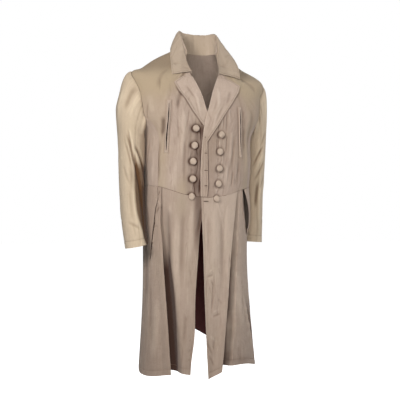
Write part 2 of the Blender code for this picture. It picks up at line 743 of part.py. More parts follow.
def build_lapel(side, name):
    """A lapel lies on its front from the roll line out to its own edge."""
    outer_table = LAPEL_LEFT_OUTER if side > 0 else LAPEL_RIGHT_OUTER
    inner_table = FRONT_EDGE_LEFT if side > 0 else FRONT_EDGE_RIGHT
    heights = np.array(column(outer_table, "height"))
    rows = []
    for first, second in zip(heights[:-1], heights[1:]):
        rows.extend(np.linspace(first, second, 3)[:-1])
    rows = np.array(rows + [heights[-1]])
    outer_x = np.interp(-rows, -heights, column(outer_table, "x"))
    inner_x = lookup(inner_table, "height", "x", rows)
    if side < 0:
        inner_x = np.minimum(inner_x, lookup(FRONT_EDGE_LEFT, "height", "x", rows) - 0.0015)
    share = np.linspace(0, 1, 6)
    height = np.repeat(rows[:, None], len(share), axis=1)
    x = inner_x[:, None] + (outer_x - inner_x)[:, None] * share[None, :]
    angle = angle_of(x, height)
    lift = LAYER + 0.0012 * np.sin(np.pi * share)[None, :] * (height > -0.34)
    offset = lap_offset(angle, side) + lift
    if side > 0:
        add_panel(name, angle[::-1], height[::-1], offset[::-1], CLOTH)
    else:
        add_panel(name, angle[::-1, ::-1], height[::-1, ::-1], offset[::-1, ::-1], CLOTH)


def collar_line(prefix, turn):
    parts = [lookup(COLLAR_STATIONS, "turn", f"{prefix}_{axis}", turn) for axis in "xyz"]
    return np.stack(parts, axis=-1) + np.array([CENTRE_X, 0, 0])


def neck_line(turn):
    """The collar's seam: just inside the fronts' neckline, and just above the back's."""
    height = lookup(COLLAR_STATIONS, "turn", "neck_height", turn)
    angle = lookup(COLLAR_STATIONS, "turn", "neck_angle", turn)
    neckline = lookup(NECKLINE, "height", "angle", height) - COLLAR_SEAM_TURN
    angle = np.where(height < NECK_HEIGHT, np.minimum(angle, neckline), angle)
    return body(angle, height)


def build_collar():
    """The stand rises from the neckline, turns over the fold and falls to the outer edge."""
    turn = np.linspace(-1, 1, 27)
    place = np.abs(turn)
    neck, fold, edge = neck_line(place), collar_line("fold", place), collar_line("edge", place)
    for line in (neck, fold, edge):
        line[turn < 0, 0] = 2 * CENTRE_X - line[turn < 0, 0]
    outward = unit((edge - fold) * np.array([1, 1, 0]))
    top_gap = 0.0030 + 0.0030 * (1 - place[:, None])
    rise = COLLAR_FOLD_RISE * np.array([0, 0, 1.0])
    rows = [neck + (fold - neck) * share for share in (0.0, 0.35, 0.7, 1.0)]
    rows.append(fold + rise * 0.8 + outward * top_gap * 0.35)
    rows.append(fold + rise + outward * top_gap)
    hang = fold + outward * top_gap * 1.9
    for share in (0.0, 0.22, 0.48, 0.75, 1.0):
        bulge = 0.004 * np.sin(np.pi * share)
        rows.append(hang + (edge - hang) * share + outward * bulge)
    points = np.stack(rows)
    faces = grid_faces(*points.shape[:2])
    add_sheet("collar", points.reshape(-1, 3), faces[:, ::-1], CLOTH)


def armhole_loop():
    """The armhole's points round the wearer's left arm, from the shoulder tip forwards."""
    rows = front_rows()
    front = rows[(rows >= CHEST_HEIGHT - 1e-6) & (rows <= SHOULDER_TIP_HEIGHT + 1e-6)][::-1]
    front_points = body(lookup(ARMHOLE_FRONT, "height", "angle", front), front)
    angle, height = side_grid()
    side_points = body(angle[-1], height[-1])
    rows = back_edge()[0]
    back = rows[(rows >= BACK_ARMHOLE_HEIGHT - 1e-6) & (rows <= SHOULDER_TIP_HEIGHT + 1e-6)]
    back_points = body(lookup(ARMHOLE_BACK, "height", "angle", back), back)
    return np.concatenate([front_points, side_points[1:-1], back_points[:-1]])


def sleeve_grid(side):
    """Rings of a sleeve from the armhole to the cuff, on the wearer's left."""
    name = "left" if side > 0 else "right"
    table = SLEEVE_SECTIONS[name]
    loop = armhole_loop()
    steps = np.linalg.norm(np.roll(loop, -1, axis=0) - loop, axis=1)
    around = np.concatenate([[0], np.cumsum(steps)[:-1]]) / steps.sum()
    turn = 2 * np.pi * around
    heights = np.arange(table[0].height, table[-1].height, -SLEEVE_RING_STEP)
    heights = np.append(heights, table[-1].height)
    rings = []
    for height in heights:
        x, y, width, depth = (
            lookup(table, "height", key, height) for key in ("x", "y", "half_width", "half_depth")
        )
        low = ease((table[2].height - height) / (table[2].height - table[-1].height))
        ring = np.stack(
            [
                x + width * np.cos(turn),
                y - depth * np.sin(turn),
                height - CUFF_TILT[name] * low * width * np.cos(turn),
            ],
            axis=-1,
        )
        rings.append(ring)
    first, down = rings[0], unit(rings[1] - rings[0])
    centre = loop.mean(axis=0)
    leave = unit((loop - centre) * np.array([0.9, 0.35, 0.25]) + np.array([0.035, 0, -0.045]))
    reach = np.linalg.norm(first - loop, axis=1)[:, None]
    cap = []
    for share in np.linspace(0, 1, SLEEVE_CAP_RINGS + 1)[:-1]:
        cap.append(
            (2 * share**3 - 3 * share**2 + 1) * loop
            + (share**3 - 2 * share**2 + share) * leave * reach * CAP_FULLNESS[name]
            + (3 * share**2 - 2 * share**3) * first
            + (share**3 - share**2) * down * reach * 0.9
        )
    cap[0] = loop + leave * SEAM_GAP * 1.5
    return np.stack(cap + rings)


def build_sleeve(side):
    """The tube is cut lengthways at its front and back seams into an upper and an under half."""
    word = "left" if side > 0 else "right"
    grid = sleeve_grid(side)
    loop = armhole_loop()
    columns = len(loop)
    lowest = int(np.argmin(loop[:, 2]))
    front_cut = int(np.argmin(np.abs(loop[:lowest, 2] - FRONT_SLEEVE_SEAM_HEIGHT)))
    back_cut = lowest + int(np.argmin(np.abs(loop[lowest:, 2] - BACK_SLEEVE_SEAM_HEIGHT)))
    faces = grid_faces(len(grid), columns, wrap=True)
    normals = point_normals(grid.reshape(-1, 3), faces).reshape(grid.shape)
    under = np.arange(front_cut, back_cut + 1)
    upper = np.arange(back_cut, front_cut + columns + 1) % columns
    for piece, picked in (("upper_sleeve", upper), ("under_sleeve", under)):
        outer = grid[:, picked].copy()
        inner = outer - WALL * normals[:, picked]
        for edge, inside in ((0, 1), (-1, -2)):
            shift = unit(outer[:, inside] - outer[:, edge]) * SEAM_GAP / 2
            outer[:, edge] += shift
            inner[:, edge] += shift
        if side < 0:
            outer = outer[:, ::-1] * np.array([-1, 1, 1])
            inner = inner[:, ::-1] * np.array([-1, 1, 1])
            outer[..., 0] += 2 * CENTRE_X
            inner[..., 0] += 2 * CENTRE_X
        rows, count = outer.shape[:2]
        add_wall(
            f"{piece}_{word}",
            outer.reshape(-1, 3),
            inner.reshape(-1, 3),
            grid_faces(rows, count),
            SLEEVE_CLOTH,
        )


def frame_at(x, height, offset):
    """Where a small trim sits on the front: its place, outward, sideways and upward directions."""
    angle = angle_of(np.array(x), np.array(height))
    centre = body(angle, height, offset)
    outward = ring_normal(np.radians(angle), np.array(height))
    upward = np.array([0, 0, 1.0]) - outward[2] * outward
    upward = unit(upward)
    return centre, outward, np.cross(upward, outward), upward


def build_button(name, x, height, side):
    """A covered button: a domed disc with a rounded rim."""
    nearest = angle_of(np.array(x - BUTTON_RADIUS), np.array(height))
    base = float(lap_offset(nearest, side)) + SEAM_GAP
    centre, outward, across, upward = frame_at(x, height, base)
    profile = [(0.84, 0.0), (1.0, 0.30), (0.88, 0.68), (0.48, 0.94)]
    turn = np.linspace(0, 2 * np.pi, 13)[:-1]
    points = [centre]
    for radius, rise in profile:
        ring = (
            centre
            + BUTTON_RADIUS * radius * (np.cos(turn)[:, None] * across + np.sin(turn)[:, None] * upward)
            + BUTTON_HEIGHT * rise * outward
        )
        points.extend(ring)
    points.append(centre + BUTTON_HEIGHT * outward)
    count = len(turn)
    faces = []
    for k in range(count):
        after = (k + 1) % count
        faces.append((0, 1 + after, 1 + k))
        for ring in range(len(profile) - 1):
            low, high = 1 + ring * count, 1 + (ring + 1) * count
            faces.append((low + k, low + after, high + after, high + k))
        top = 1 + (len(profile) - 1) * count
        faces.append((top + k, top + after, len(points) - 1))
    add_mesh(name, points, faces, BUTTON_CLOTH)


def build_welt(side, name):
    """A narrow frame round the breast slit, lying on the front."""
    welt = WELTS["left" if side > 0 else "right"]
    steps = np.linspace(0, 1, 13)
    line_x = welt.top_x + (welt.end_x - welt.top_x) * steps
    line_height = welt.top_height + (welt.end_height - welt.top_height) * steps
    shares = np.array([-1, -WELT_SLOT / WELT_WIDTH, WELT_SLOT / WELT_WIDTH, 1]) * WELT_WIDTH / 2
    x = line_x[:, None] + shares[None, :]
    height = np.repeat(line_height[:, None], 4, axis=1)
    angle = angle_of(x, height)
    offset = lap_offset(angle, side) + SEAM_GAP + WELT_WALL
    number = np.arange(x.size).reshape(x.shape)
    quads = np.stack([number[:-1, :-1], number[1:, :-1], number[1:, 1:], number[:-1, 1:]], axis=-1)
    keep = np.ones(quads.shape[:2], bool)
    keep[1:-1, 1] = False
    quads = quads[keep]
    used, compact = np.unique(quads, return_inverse=True)
    outer = body(angle, height, offset).reshape(-1, 3)[used]
    inner = body(angle, height, offset - WELT_WALL).reshape(-1, 3)[used]
    add_wall(name, outer, inner, compact.reshape(-1, 4), CLOTH)


def clear_scene():
    for thing in list(bpy.data.objects):
        bpy.data.objects.remove(thing, do_unlink=True)


def main():
    clear_scene()
    for side, word in ((-1, "right"), (1, "left")):
        build_front(side, f"front_bodice_{word}")
        build_side_body(side, f"side_body_{word}")
        build_front_skirt(side, f"front_skirt_{word}")
        build_side_skirt(side, f"side_skirt_{word}")
        build_lapel(side, f"lapel_{word}")
        build_sleeve(side)
        build_welt(side, f"breast_welt_{word}")
        for number, button in enumerate(BUTTON_ROWS[word], start=1):
            build_button(f"button_{word}_{number}", button.x, button.height, side)
    build_back()
    build_back_skirt()
    build_collar()


if __name__ == "__main__":
    main()
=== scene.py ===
"""The look of the duster coat: a long double-breasted skirted coat of washed cotton twill.

Metres, +Z up, the coat faces -Y and the wearer's left is +X. Angles run round the body in degrees
from the middle of the front, positive to the wearer's left. Every panel of the body is a grid of
angle, height and offset: the offset is how far the cloth stands off the plain body form, and it
holds the overlaps, the folds, the seams and the creases. Sleeves, collar and trim have grids of
their own.
"""

import logging
import math
from dataclasses import dataclass, field
from enum import Enum
from typing import Any, Callable, NamedTuple, Sequence
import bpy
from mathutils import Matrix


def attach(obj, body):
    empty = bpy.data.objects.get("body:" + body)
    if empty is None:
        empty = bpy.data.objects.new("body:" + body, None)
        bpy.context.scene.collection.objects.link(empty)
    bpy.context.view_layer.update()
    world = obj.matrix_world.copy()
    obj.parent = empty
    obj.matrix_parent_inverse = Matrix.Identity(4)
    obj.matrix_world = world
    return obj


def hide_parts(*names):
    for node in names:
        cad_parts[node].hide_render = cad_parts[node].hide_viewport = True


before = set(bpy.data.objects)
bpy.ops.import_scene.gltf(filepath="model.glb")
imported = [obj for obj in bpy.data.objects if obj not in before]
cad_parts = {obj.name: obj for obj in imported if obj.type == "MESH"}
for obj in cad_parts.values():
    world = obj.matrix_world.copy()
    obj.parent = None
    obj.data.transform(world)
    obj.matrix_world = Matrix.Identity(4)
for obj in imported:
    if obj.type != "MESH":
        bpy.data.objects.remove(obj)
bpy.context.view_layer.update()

import bpy
import numpy as np

Array = np.ndarray
log = logging.getLogger("duster coat")

CENTRE_X = 0.003
NECK_HEIGHT = 0.004
SHOULDER_TIP_HEIGHT = -0.104
CHEST_HEIGHT = -0.262
BACK_ARMHOLE_HEIGHT = -0.240
UNDERARM_HEIGHT = -0.305
WAIST_ROW_HEIGHT = -0.540
WAIST_FADE_HEIGHT = -0.400
SKIRT_TOP_HEIGHT = -0.530
SKIRT_HEM_HEIGHT = -1.170
SKIRT_LOWEST_HEIGHT = -1.190
SIDE_BACK_ANGLE = 120.0
MEAN_RADIUS = 0.190
CLOTH_WALL = 0.0018
SEAM_GAP = 0.0002
FRONT_WAIST_GAP = 0.0007
SEAM_GAP_ANGLE = 0.010
LAYER = 0.0026
GRID_STEP_FRONT = 0.0028
# Metres round the body for each degree, and the body's radius at the buttons and lapels.
DEGREE_ARC = math.radians(1) * MEAN_RADIUS
FRONT_RADIUS = 0.150
WAIST_SEAM_DIP = 0.0003
STITCH_GROOVE = 0.0005


class Side(Enum):
    """Which half of the coat a piece belongs to, as the wearer has it."""

    RIGHT = -1
    LEFT = 1

    @property
    def word(self) -> str:
        """The side's name as the nodes have it."""
        return self.name.lower()


def cubic(t: Array, start: Array, leave: Array, end: Array, arrive: Array) -> Array:
    """The cubic in t from start to end that leaves and arrives with the given slopes."""
    share = 3 * t**2 - 2 * t**3
    return (1 - share) * start + (t**3 - 2 * t**2 + t) * leave + share * end + (t**3 - t**2) * arrive


class Table:
    """Rows of named numbers that are read smoothly between the rows, along the first column."""

    def __init__(self, names: str, rows: Sequence[Sequence[float]]) -> None:
        """Keeps the rows in rising order of their first column.

        Args:
            names: the columns' names, the first one being the place that is looked up.
            rows: one row of numbers for each place.
        """
        values = np.array(rows, dtype=float)
        self.names = names.split()
        self.values = values[np.argsort(values[:, 0])]

    def at(self, where: Array | float, name: str | None = None) -> Array:
        """Reads a column by a cubic whose slopes come from the neighbouring rows.

        Args:
            where: places along the first column.
            name: the column, the second one if left out.

        Returns:
            The column's value at each place.
        """
        nodes = self.values[:, 0]
        column = self.values[:, self.names.index(name) if name else 1]
        slopes = np.gradient(column, nodes)
        where = np.clip(where, nodes[0], nodes[-1])
        left = np.clip(np.searchsorted(nodes, where) - 1, 0, len(nodes) - 2)
        span = nodes[left + 1] - nodes[left]
        t = (where - nodes[left]) / span
        return cubic(t, column[left], span * slopes[left], column[left + 1], span * slopes[left + 1])


BODY = Table("height half_width front_depth back_depth squareness shift_x centre_y", [
    (0.004, 0.084, 0.030, 0.066, 2.0, 0.000, -0.031), (-0.044, 0.174, 0.047, 0.100, 2.1, 0.000, -0.022),
    (-0.086, 0.229, 0.079, 0.117, 2.3, 0.000, -0.015), (-0.104, 0.251, 0.093, 0.123, 2.4, 0.000, -0.012),
    (-0.180, 0.243, 0.125, 0.135, 2.8, 0.000, -0.005), (-0.260, 0.231, 0.142, 0.137, 2.9, 0.000, 0.000),
    (-0.320, 0.204, 0.146, 0.132, 2.7, 0.000, 0.000), (-0.420, 0.200, 0.146, 0.124, 2.9, -0.002, 0.000),
    (-0.520, 0.199, 0.144, 0.120, 2.7, -0.005, 0.000), (-0.620, 0.197, 0.146, 0.128, 2.55, -0.007, 0.000),
    (-0.750, 0.195, 0.150, 0.138, 2.4, -0.007, 0.000), (-0.950, 0.198, 0.157, 0.148, 2.3, -0.004, 0.000),
    (-1.200, 0.214, 0.166, 0.156, 2.2, 0.000, 0.000),
])
WAIST_SEAM = Table("angle height", [(0, -0.557), (30, -0.545), (60, -0.516), (90, -0.507), (180, -0.502)])
HEMS = {
    "front_skirt_right": Table("angle height", [(-50, -1.163), (-35, -1.168), (-20, -1.175)]),
    "front_skirt_left": Table("angle height", [(-4, -1.192), (5, -1.180), (14, -1.165), (24, -1.158)]),
    "side_skirt_right": Table("angle height", [(-125, -1.150), (-100, -1.184), (-75, -1.189), (-44, -1.172)]),
    "side_skirt_left": Table("angle height", [
        (8, -1.158), (31, -1.152), (52, -1.156), (72, -1.172), (95, -1.184), (125, -1.150),
    ]),
    "back_skirt": Table("angle height", [
        (120, -1.158), (150, -1.092), (180, -1.056), (210, -1.090), (240, -1.158),
    ]),
}
FRONT_EDGES = {
    Side.LEFT: Table("height x", [
        (-0.105, 0.053), (-0.180, 0.023), (-0.217, 0.012), (-0.252, 0.001), (-0.290, -0.009),
        (-0.357, -0.019), (-0.420, -0.024), (-0.560, -0.024), (-0.725, -0.019), (-0.910, -0.015),
        (-1.096, -0.009), (-1.192, -0.005),
    ]),
    Side.RIGHT: Table("height x", [
        (-0.105, -0.054), (-0.180, -0.021), (-0.217, -0.010), (-0.252, 0.000), (-0.300, 0.006),
        (-0.420, 0.006), (-0.560, -0.006), (-0.652, -0.026), (-0.770, -0.037), (-0.910, -0.048),
        (-1.050, -0.0525), (-1.140, -0.0645), (-1.175, -0.067),
    ]),
}
NECKLINE_FOOT_HEIGHT = -0.105
NECKLINE = Table("height angle", [
    (NECKLINE_FOOT_HEIGHT, 30), (-0.086, 38), (-0.044, 58), (NECK_HEIGHT, 72),
])
FRONT_SEAM = Table("height angle", [
    (-0.560, 59.5), (-0.400, 59.5), (-0.340, 60), (-0.300, 63), (-0.280, 66.5), (CHEST_HEIGHT, 71.5),
])
ARMHOLE_FRONT = Table("height angle", [
    (CHEST_HEIGHT, 71.5), (-0.220, 72.5), (-0.178, 75.5), (-0.130, 82), (SHOULDER_TIP_HEIGHT, 90),
])
ARMHOLE_BACK = Table("height angle", [
    (BACK_ARMHOLE_HEIGHT, 110), (-0.200, 108), (-0.150, 103), (SHOULDER_TIP_HEIGHT, 90),
])
BACK_SEAM = Table("height angle", [
    (-0.520, 122), (-0.400, 120), (-0.300, 115), (BACK_ARMHOLE_HEIGHT, 110),
])
PLEATS = {
    Side.RIGHT: Table("height angle", [
        (-0.500, 55.5), (-0.584, 56.0), (-0.644, 56.2), (-0.708, 54.4), (-0.812, 52.4), (-0.916, 49.8),
        (-1.060, 46.4), (-1.190, 43.5),
    ]),
    Side.LEFT: Table("height angle", [
        (-0.500, 44.0), (-0.612, 40.2), (-0.724, 34.8), (-0.820, 30.3), (-0.912, 26.0), (-1.004, 21.4),
        (-1.096, 17.0), (-1.190, 11.8),
    ]),
}
PLEAT_DEPTHS = {
    Side.RIGHT: Table("height dip lift floor_angle underlap", [
        (-0.500, 0.0032, 0.0000, 0.0, 6.0), (-0.600, 0.0120, 0.0020, 0.0, 6.5),
        (-0.750, 0.0220, 0.0050, 0.0, 10.0), (-0.950, 0.0300, 0.0080, 1.0, 14.0),
        (-1.190, 0.0360, 0.0100, 2.0, 15.0),
    ]),
    Side.LEFT: Table("height dip lift floor_angle underlap", [
        (-0.500, 0.0032, 0.0000, 0.0, 6.0), (-0.600, 0.0120, 0.0020, 2.0, 6.0),
        (-0.750, 0.0250, 0.0050, 6.0, 6.5), (-0.950, 0.0350, 0.0080, 9.0, 8.0),
        (-1.190, 0.0400, 0.0100, 10.0, 9.0),
    ]),
}
PLEAT_SLOPE_ANGLES = {Side.RIGHT: 11.0, Side.LEFT: 4.6}
PLEAT_LIFT_ANGLE = 11.0


class Slit(NamedTuple):
    """A hip slit: its line's angle at the top and at its end, its end's height, and how it gapes."""

    top_angle: float
    end_angle: float
    end_height: float
    gape: float
    flare: float
    wobble: float


HIP_SLITS = {
    Side.RIGHT: Slit(58.0, 75.0, -0.804, 0.004, 0.003, 1.5),
    Side.LEFT: Slit(50.0, 63.0, -0.692, 0.026, 0.015, 0.0),
}
SLIT_TOP_HEIGHT = -0.510
SLIT_FLARE_ANGLE = 26.0
SLIT_LEAST_GAPE = 0.0012


class Fold(NamedTuple):
    """A rounded fold of the skirt that starts low on it and grows towards the hem."""

    top_angle: float
    hem_angle: float
    width: float
    height: float
    start: float


SKIRT_FOLDS = [
    Fold(-25, -31, 7, 0.005, -0.60), Fold(-88, -92, 12, 0.003, -0.70), Fold(30, 12, 7, 0.004, -0.75),
    Fold(75, 70, 11, 0.009, -0.75), Fold(104, 108, 9, 0.008, -0.60), Fold(138, 141, 9, 0.013, -0.58),
    Fold(163, 164, 8, 0.011, -0.62), Fold(190, 192, 9, 0.013, -0.58), Fold(216, 219, 9, 0.011, -0.60),
    Fold(246, 249, 9, 0.009, -0.60),
]
LAP_HEIGHT = LAYER + 0.0004
LAP_START_ANGLE = 9.0
LAP_END_ANGLE = 24.0

LAPEL_OUTERS = {
    Side.RIGHT: Table("height x", [
        (-0.118, -0.080), (-0.144, -0.117), (-0.160, -0.108), (-0.179, -0.098), (-0.202, -0.079),
        (-0.247, -0.053), (-0.272, -0.035), (-0.298, -0.017),
    ]),
    Side.LEFT: Table("height x", [
        (-0.120, 0.084), (-0.145, 0.131), (-0.169, 0.124), (-0.213, 0.095), (-0.251, 0.068),
        (-0.297, 0.038), (-0.335, 0.012), (-0.357, -0.003), (-0.459, -0.001), (-0.508, 0.001),
        (-0.552, -0.003),
    ]),
}
COLLAR = Table("turn neck_angle neck_height fold_x fold_y fold_z edge_x edge_y edge_z", [
    (0.00, 180, 0.0050, 0.000, 0.040, 0.080, 0.000, 0.078, 0.012),
    (0.20, 138, 0.0050, 0.044, 0.026, 0.079, 0.062, 0.058, 0.012),
    (0.38, 96, 0.0062, 0.067, -0.004, 0.076, 0.100, 0.010, 0.013),
    (0.55, 66, -0.004, 0.070, -0.034, 0.048, 0.118, -0.032, -0.004),
    (0.72, 56, -0.038, 0.067, -0.055, 0.000, 0.126, -0.064, -0.040),
    (0.88, 39, -0.078, 0.060, -0.083, -0.062, 0.130, -0.094, -0.080),
    (1.00, 28, -0.1035, 0.052, -0.108, -0.098, 0.130, -0.110, -0.112),
])
COLLAR_SEAM_TURN = 2.2
SLEEVES = {
    Side.RIGHT: Table("height x y half_width half_depth", [
        (-0.340, 0.2545, 0.000, 0.0490, 0.068), (-0.400, 0.2545, -0.004, 0.0475, 0.066),
        (-0.460, 0.2550, -0.012, 0.0465, 0.064), (-0.540, 0.2540, -0.026, 0.0465, 0.062),
        (-0.630, 0.2520, -0.045, 0.0445, 0.058), (-0.728, 0.2450, -0.066, 0.0410, 0.052),
    ]),
    Side.LEFT: Table("height x y half_width half_depth", [
        (-0.340, 0.2425, 0.010, 0.0370, 0.068), (-0.400, 0.2420, 0.016, 0.0370, 0.067),
        (-0.460, 0.2410, 0.021, 0.0365, 0.065), (-0.540, 0.2385, 0.027, 0.0360, 0.063),
        (-0.630, 0.2385, 0.029, 0.0355, 0.059), (-0.718, 0.2365, 0.025, 0.0340, 0.053),
    ]),
}
CUFF_TILT = {Side.RIGHT: 0.20, Side.LEFT: 0.06}
CAP_FULLNESS = {Side.RIGHT: 1.0, Side.LEFT: 0.35}


class Settle(NamedTuple):
    """A soft bump of shift: where it is, how far it reaches, and how far its middle moves."""

    pieces: tuple[str, ...]
    x: float
    reach_x: float
    height: float
    reach_height: float
    shift_x: float
    shift_height: float


UPPER_PIECES = ("front_bodice", "back_bodice", "side_body", "upper_sleeve", "under_sleeve")
SETTLES = [
    Settle(UPPER_PIECES, 0.165, 0.080, -0.050, 0.150, 0.000, -0.018),
    Settle(UPPER_PIECES, -0.262, 0.055, -0.090, 0.110, 0.000, 0.018),
    Settle(UPPER_PIECES, -0.310, 0.060, -0.165, 0.070, 0.008, 0.000),
    Settle(("collar",), 0.140, 0.070, -0.040, 0.140, 0.009, 0.000),
    Settle(("collar",), -0.140, 0.070, -0.040, 0.140, 0.008, 0.000),
]


class Place(NamedTuple):
    """A place on the front: across from the centre plane, and height."""

    x: float
    height: float


BUTTONS = {
    Side.RIGHT: [
        Place(-0.0435, -0.310), Place(-0.0490, -0.371), Place(-0.0540, -0.428), Place(-0.0550, -0.490),
        Place(-0.0590, -0.553),
    ],
    Side.LEFT: [
        Place(0.0510, -0.329), Place(0.0450, -0.391), Place(0.0430, -0.451), Place(0.0395, -0.506),
        Place(0.0320, -0.560),
    ],
}


class Hole(NamedTuple):
    """A buttonhole: its middle, its height and half its length."""

    x: float
    height: float
    half: float


BUTTONHOLES = [
    Hole(-0.0110, -0.341, 0.0016), Hole(-0.0085, -0.398, 0.0048), Hole(-0.0080, -0.459, 0.0056),
    Hole(-0.0080, -0.514, 0.0050), Hole(-0.0075, -0.569, 0.0086),
]


class WeltLine(NamedTuple):
    """The line of a breast slit, from its top to its foot."""

    top_x: float
    top_height: float
    end_x: float
    end_height: float


WELTS = {
    Side.RIGHT: WeltLine(-0.137, -0.212, -0.146, -0.397),
    Side.LEFT: WeltLine(0.128, -0.224, 0.133, -0.406),
}


class Crease(NamedTuple):
    """One crease along a line: ends as angle and height, then width, depth and bow in millimetres.

    A negative depth is a trough and a positive one a ridge.
    """

    angle_a: float
    height_a: float
    angle_b: float
    height_b: float
    width: float
    depth: float
    bow: float = 0.0


def creases(*rows: tuple[float, ...]) -> list[Crease]:
    """Rows of numbers as creases."""
    return [Crease(*row) for row in rows]


FRONT_CREASES = {
    Side.RIGHT: creases(
        (-52, -0.262, -57, -0.345, 9, -4.5, 2), (-58, -0.330, -60, -0.520, 7, -2.2, 1),
        (-44, -0.015, -40, -0.165, 9, -2.6), (-56, -0.030, -52, -0.150, 11, 2.6),
        (-64, -0.070, -60, -0.190, 10, -1.8, 2), (-37, -0.150, -41, -0.250, 9, -2.2),
        (-33, -0.225, -35, -0.430, 9, 1.6, 2), (-30, -0.330, -31, -0.530, 8, -1.8, -2),
        (-40, -0.420, -42, -0.545, 8, 1.4), (-24, -0.300, -27, -0.420, 6, -1.2, 2),
        (-66, -0.180, -61, -0.262, 9, 2.0, -2), (-12, -0.306, -11, -0.360, 3, -3.2, 1),
        (-16.5, -0.375, -14.5, -0.415, 3, -3.2, -1), (-14, -0.430, -16.5, -0.482, 3, -3.0, 1),
        (-11, -0.484, -11.5, -0.552, 3, -3.4), (-19.5, -0.500, -17, -0.545, 3, -2.4),
        (-10, -0.400, -10.5, -0.470, 3.5, -2.2, 1), (-50, -0.180, -47, -0.262, 4, -1.8, 1),
        (-26, -0.235, -30, -0.318, 3.5, -1.6, 1), (-39, -0.262, -38, -0.360, 3.5, -1.4, -1),
        (-66, -0.205, -70, -0.300, 4, -2.0, 1),
    ),
    Side.LEFT: creases(
        (12, -0.278, 11, -0.318, 2.8, -2.8), (17.5, -0.262, 13.5, -0.318, 3, -2.8, 1),
        (20.5, -0.232, 17.5, -0.312, 2.8, -2.4, -1), (24, -0.226, 21, -0.318, 3, -2.2, 1),
        (28, -0.240, 25.5, -0.330, 3.2, -2.2, -1), (31, -0.205, 30.5, -0.300, 3.5, 1.8),
        (11.5, -0.340, 12.5, -0.388, 2.8, -3.0),
        (14.0, -0.342, 14.5, -0.385, 2.8, -2.4), (10.5, -0.465, 9.5, -0.500, 3, -2.8),
        (26.5, -0.325, 25.0, -0.400, 3.5, -2.6, 1),
        (35.5, -0.450, 34.5, -0.525, 3.5, -2.4, 1), (20, -0.400, 18, -0.470, 3.2, -1.8, -1),
        (33, -0.300, 30, -0.440, 9, 1.8, 3), (37, -0.320, 33, -0.470, 8, -1.6, -2),
        (49, -0.290, 51, -0.392, 7, -2.6, 1), (52, -0.230, 55, -0.500, 10, 2.2, 2),
        (58, -0.200, 60, -0.420, 8, -1.8, -2), (27, -0.430, 25, -0.540, 8, 1.2, 2),
        (43, -0.410, 42, -0.530, 8, -1.2), (62, -0.060, 66, -0.170, 11, -2.2, 2),
        (50, -0.050, 52, -0.160, 11, 2.0),
    ),
}
SKIRT_CREASES = creases(
    (-7.0, -0.575, -13.5, -0.700, 7, -2.2, 2), (-13.0, -0.580, -15.5, -0.690, 7, 1.4),
    (-21.0, -0.570, -24.0, -0.800, 12, 1.8, 3), (-30.0, -0.560, -34.0, -0.900, 12, -1.6, -3),
    (-38.0, -0.600, -40.0, -1.000, 14, 2.2, 2), (-46.0, -0.575, -47.5, -0.700, 8, 2.0),
    (-28.0, -0.940, -33.0, -1.090, 10, -1.4, 3), (-23.0, -1.085, -26.5, -1.097, 5, -1.2),
    (-22.5, -1.050, -25.5, -1.060, 4, -0.9), (-23.5, -1.118, -27.0, -1.124, 4, -1.0),
    (-62.0, -0.900, -66.0, -1.140, 16, 1.8, 4), (-80.0, -0.620, -84.0, -1.000, 16, -2.0, 3),
    (-56.5, -0.530, -60.5, -0.552, 3.5, -2.6), (-61.5, -0.556, -57.0, -0.583, 3.5, 2.4),
    (-57.0, -0.585, -62.0, -0.612, 4, -2.2), (-57.5, -0.655, -68.0, -0.662, 4, -1.0),
    (-72.0, -0.830, -70.0, -1.100, 10, -1.2, -3), (-2.0, -0.838, 9.0, -0.828, 4, -1.8),
    (1.0, -0.820, 7.5, -0.812, 4, 1.2), (7.5, -0.838, 3.0, -0.975, 5, -1.6, 2),
    (4.0, -0.845, 8.0, -0.872, 4, -1.3), (1.5, -0.865, 4.5, -0.900, 4, -1.1),
    (4.5, -0.978, 17.0, -0.966, 4, -1.8, 2), (5.5, -0.960, 14.0, -0.950, 4, 1.0),
    (12.0, -0.915, 19.0, -0.935, 5, -1.0, 2), (-3.0, -1.062, 4.0, -1.112, 5, -1.4),
    (0.0, -1.040, 9.0, -1.066, 6, 1.2, 2), (-1.0, -1.110, 5.0, -1.150, 5, -1.6, 2),
    (8.0, -1.040, 4.0, -1.100, 5, -1.2), (12.0, -0.580, 10.0, -0.800, 12, 1.6, 2),
    (22.0, -0.600, 19.0, -0.900, 14, -1.6, 3), (31.0, -0.570, 27.0, -0.760, 10, 1.8),
    (2.0, -0.600, 1.0, -0.780, 9, -1.0, 2), (52.0, -0.900, 67.0, -1.130, 6, 5.5, 2),
    (60.0, -0.940, 73.0, -1.120, 9, -3.4, 2), (44.0, -0.800, 47.0, -1.050, 12, 1.6, 2),
    (40.0, -1.080, 41.0, -1.150, 8, -1.8), (30.0, -1.095, 27.0, -1.150, 7, -1.6),
    (84.0, -0.640, 90.0, -0.980, 15, -2.2, 3),
)
SIDE_CREASES = creases(
    (74, -0.330, 80, -0.480, 9, -1.8, 3), (88, -0.320, 92, -0.420, 9, 1.6, 2),
    (66, -0.380, 68, -0.510, 8, 1.2), (100, -0.300, 104, -0.500, 11, -1.6, 2),
)
BACK_CREASES = creases(
    (118, -0.260, 150, -0.330, 12, -2.4, 4), (122, -0.300, 146, -0.380, 11, 1.8, 3),
    (242, -0.265, 212, -0.345, 12, -2.2, -4), (236, -0.310, 214, -0.390, 11, 1.6, 3),
    (150, -0.420, 190, -0.440, 10, -1.6, 3), (172, -0.455, 214, -0.470, 9, -1.8, -3),
    (140, -0.470, 168, -0.485, 8, -1.4, 2), (180, -0.060, 181, -0.300, 14, -1.6, 2),
    (120, -0.120, 112, -0.200, 9, -2.0, 2), (240, -0.125, 249, -0.205, 9, -1.8, 2),
)

ONE_MILLIMETRE = 0.001


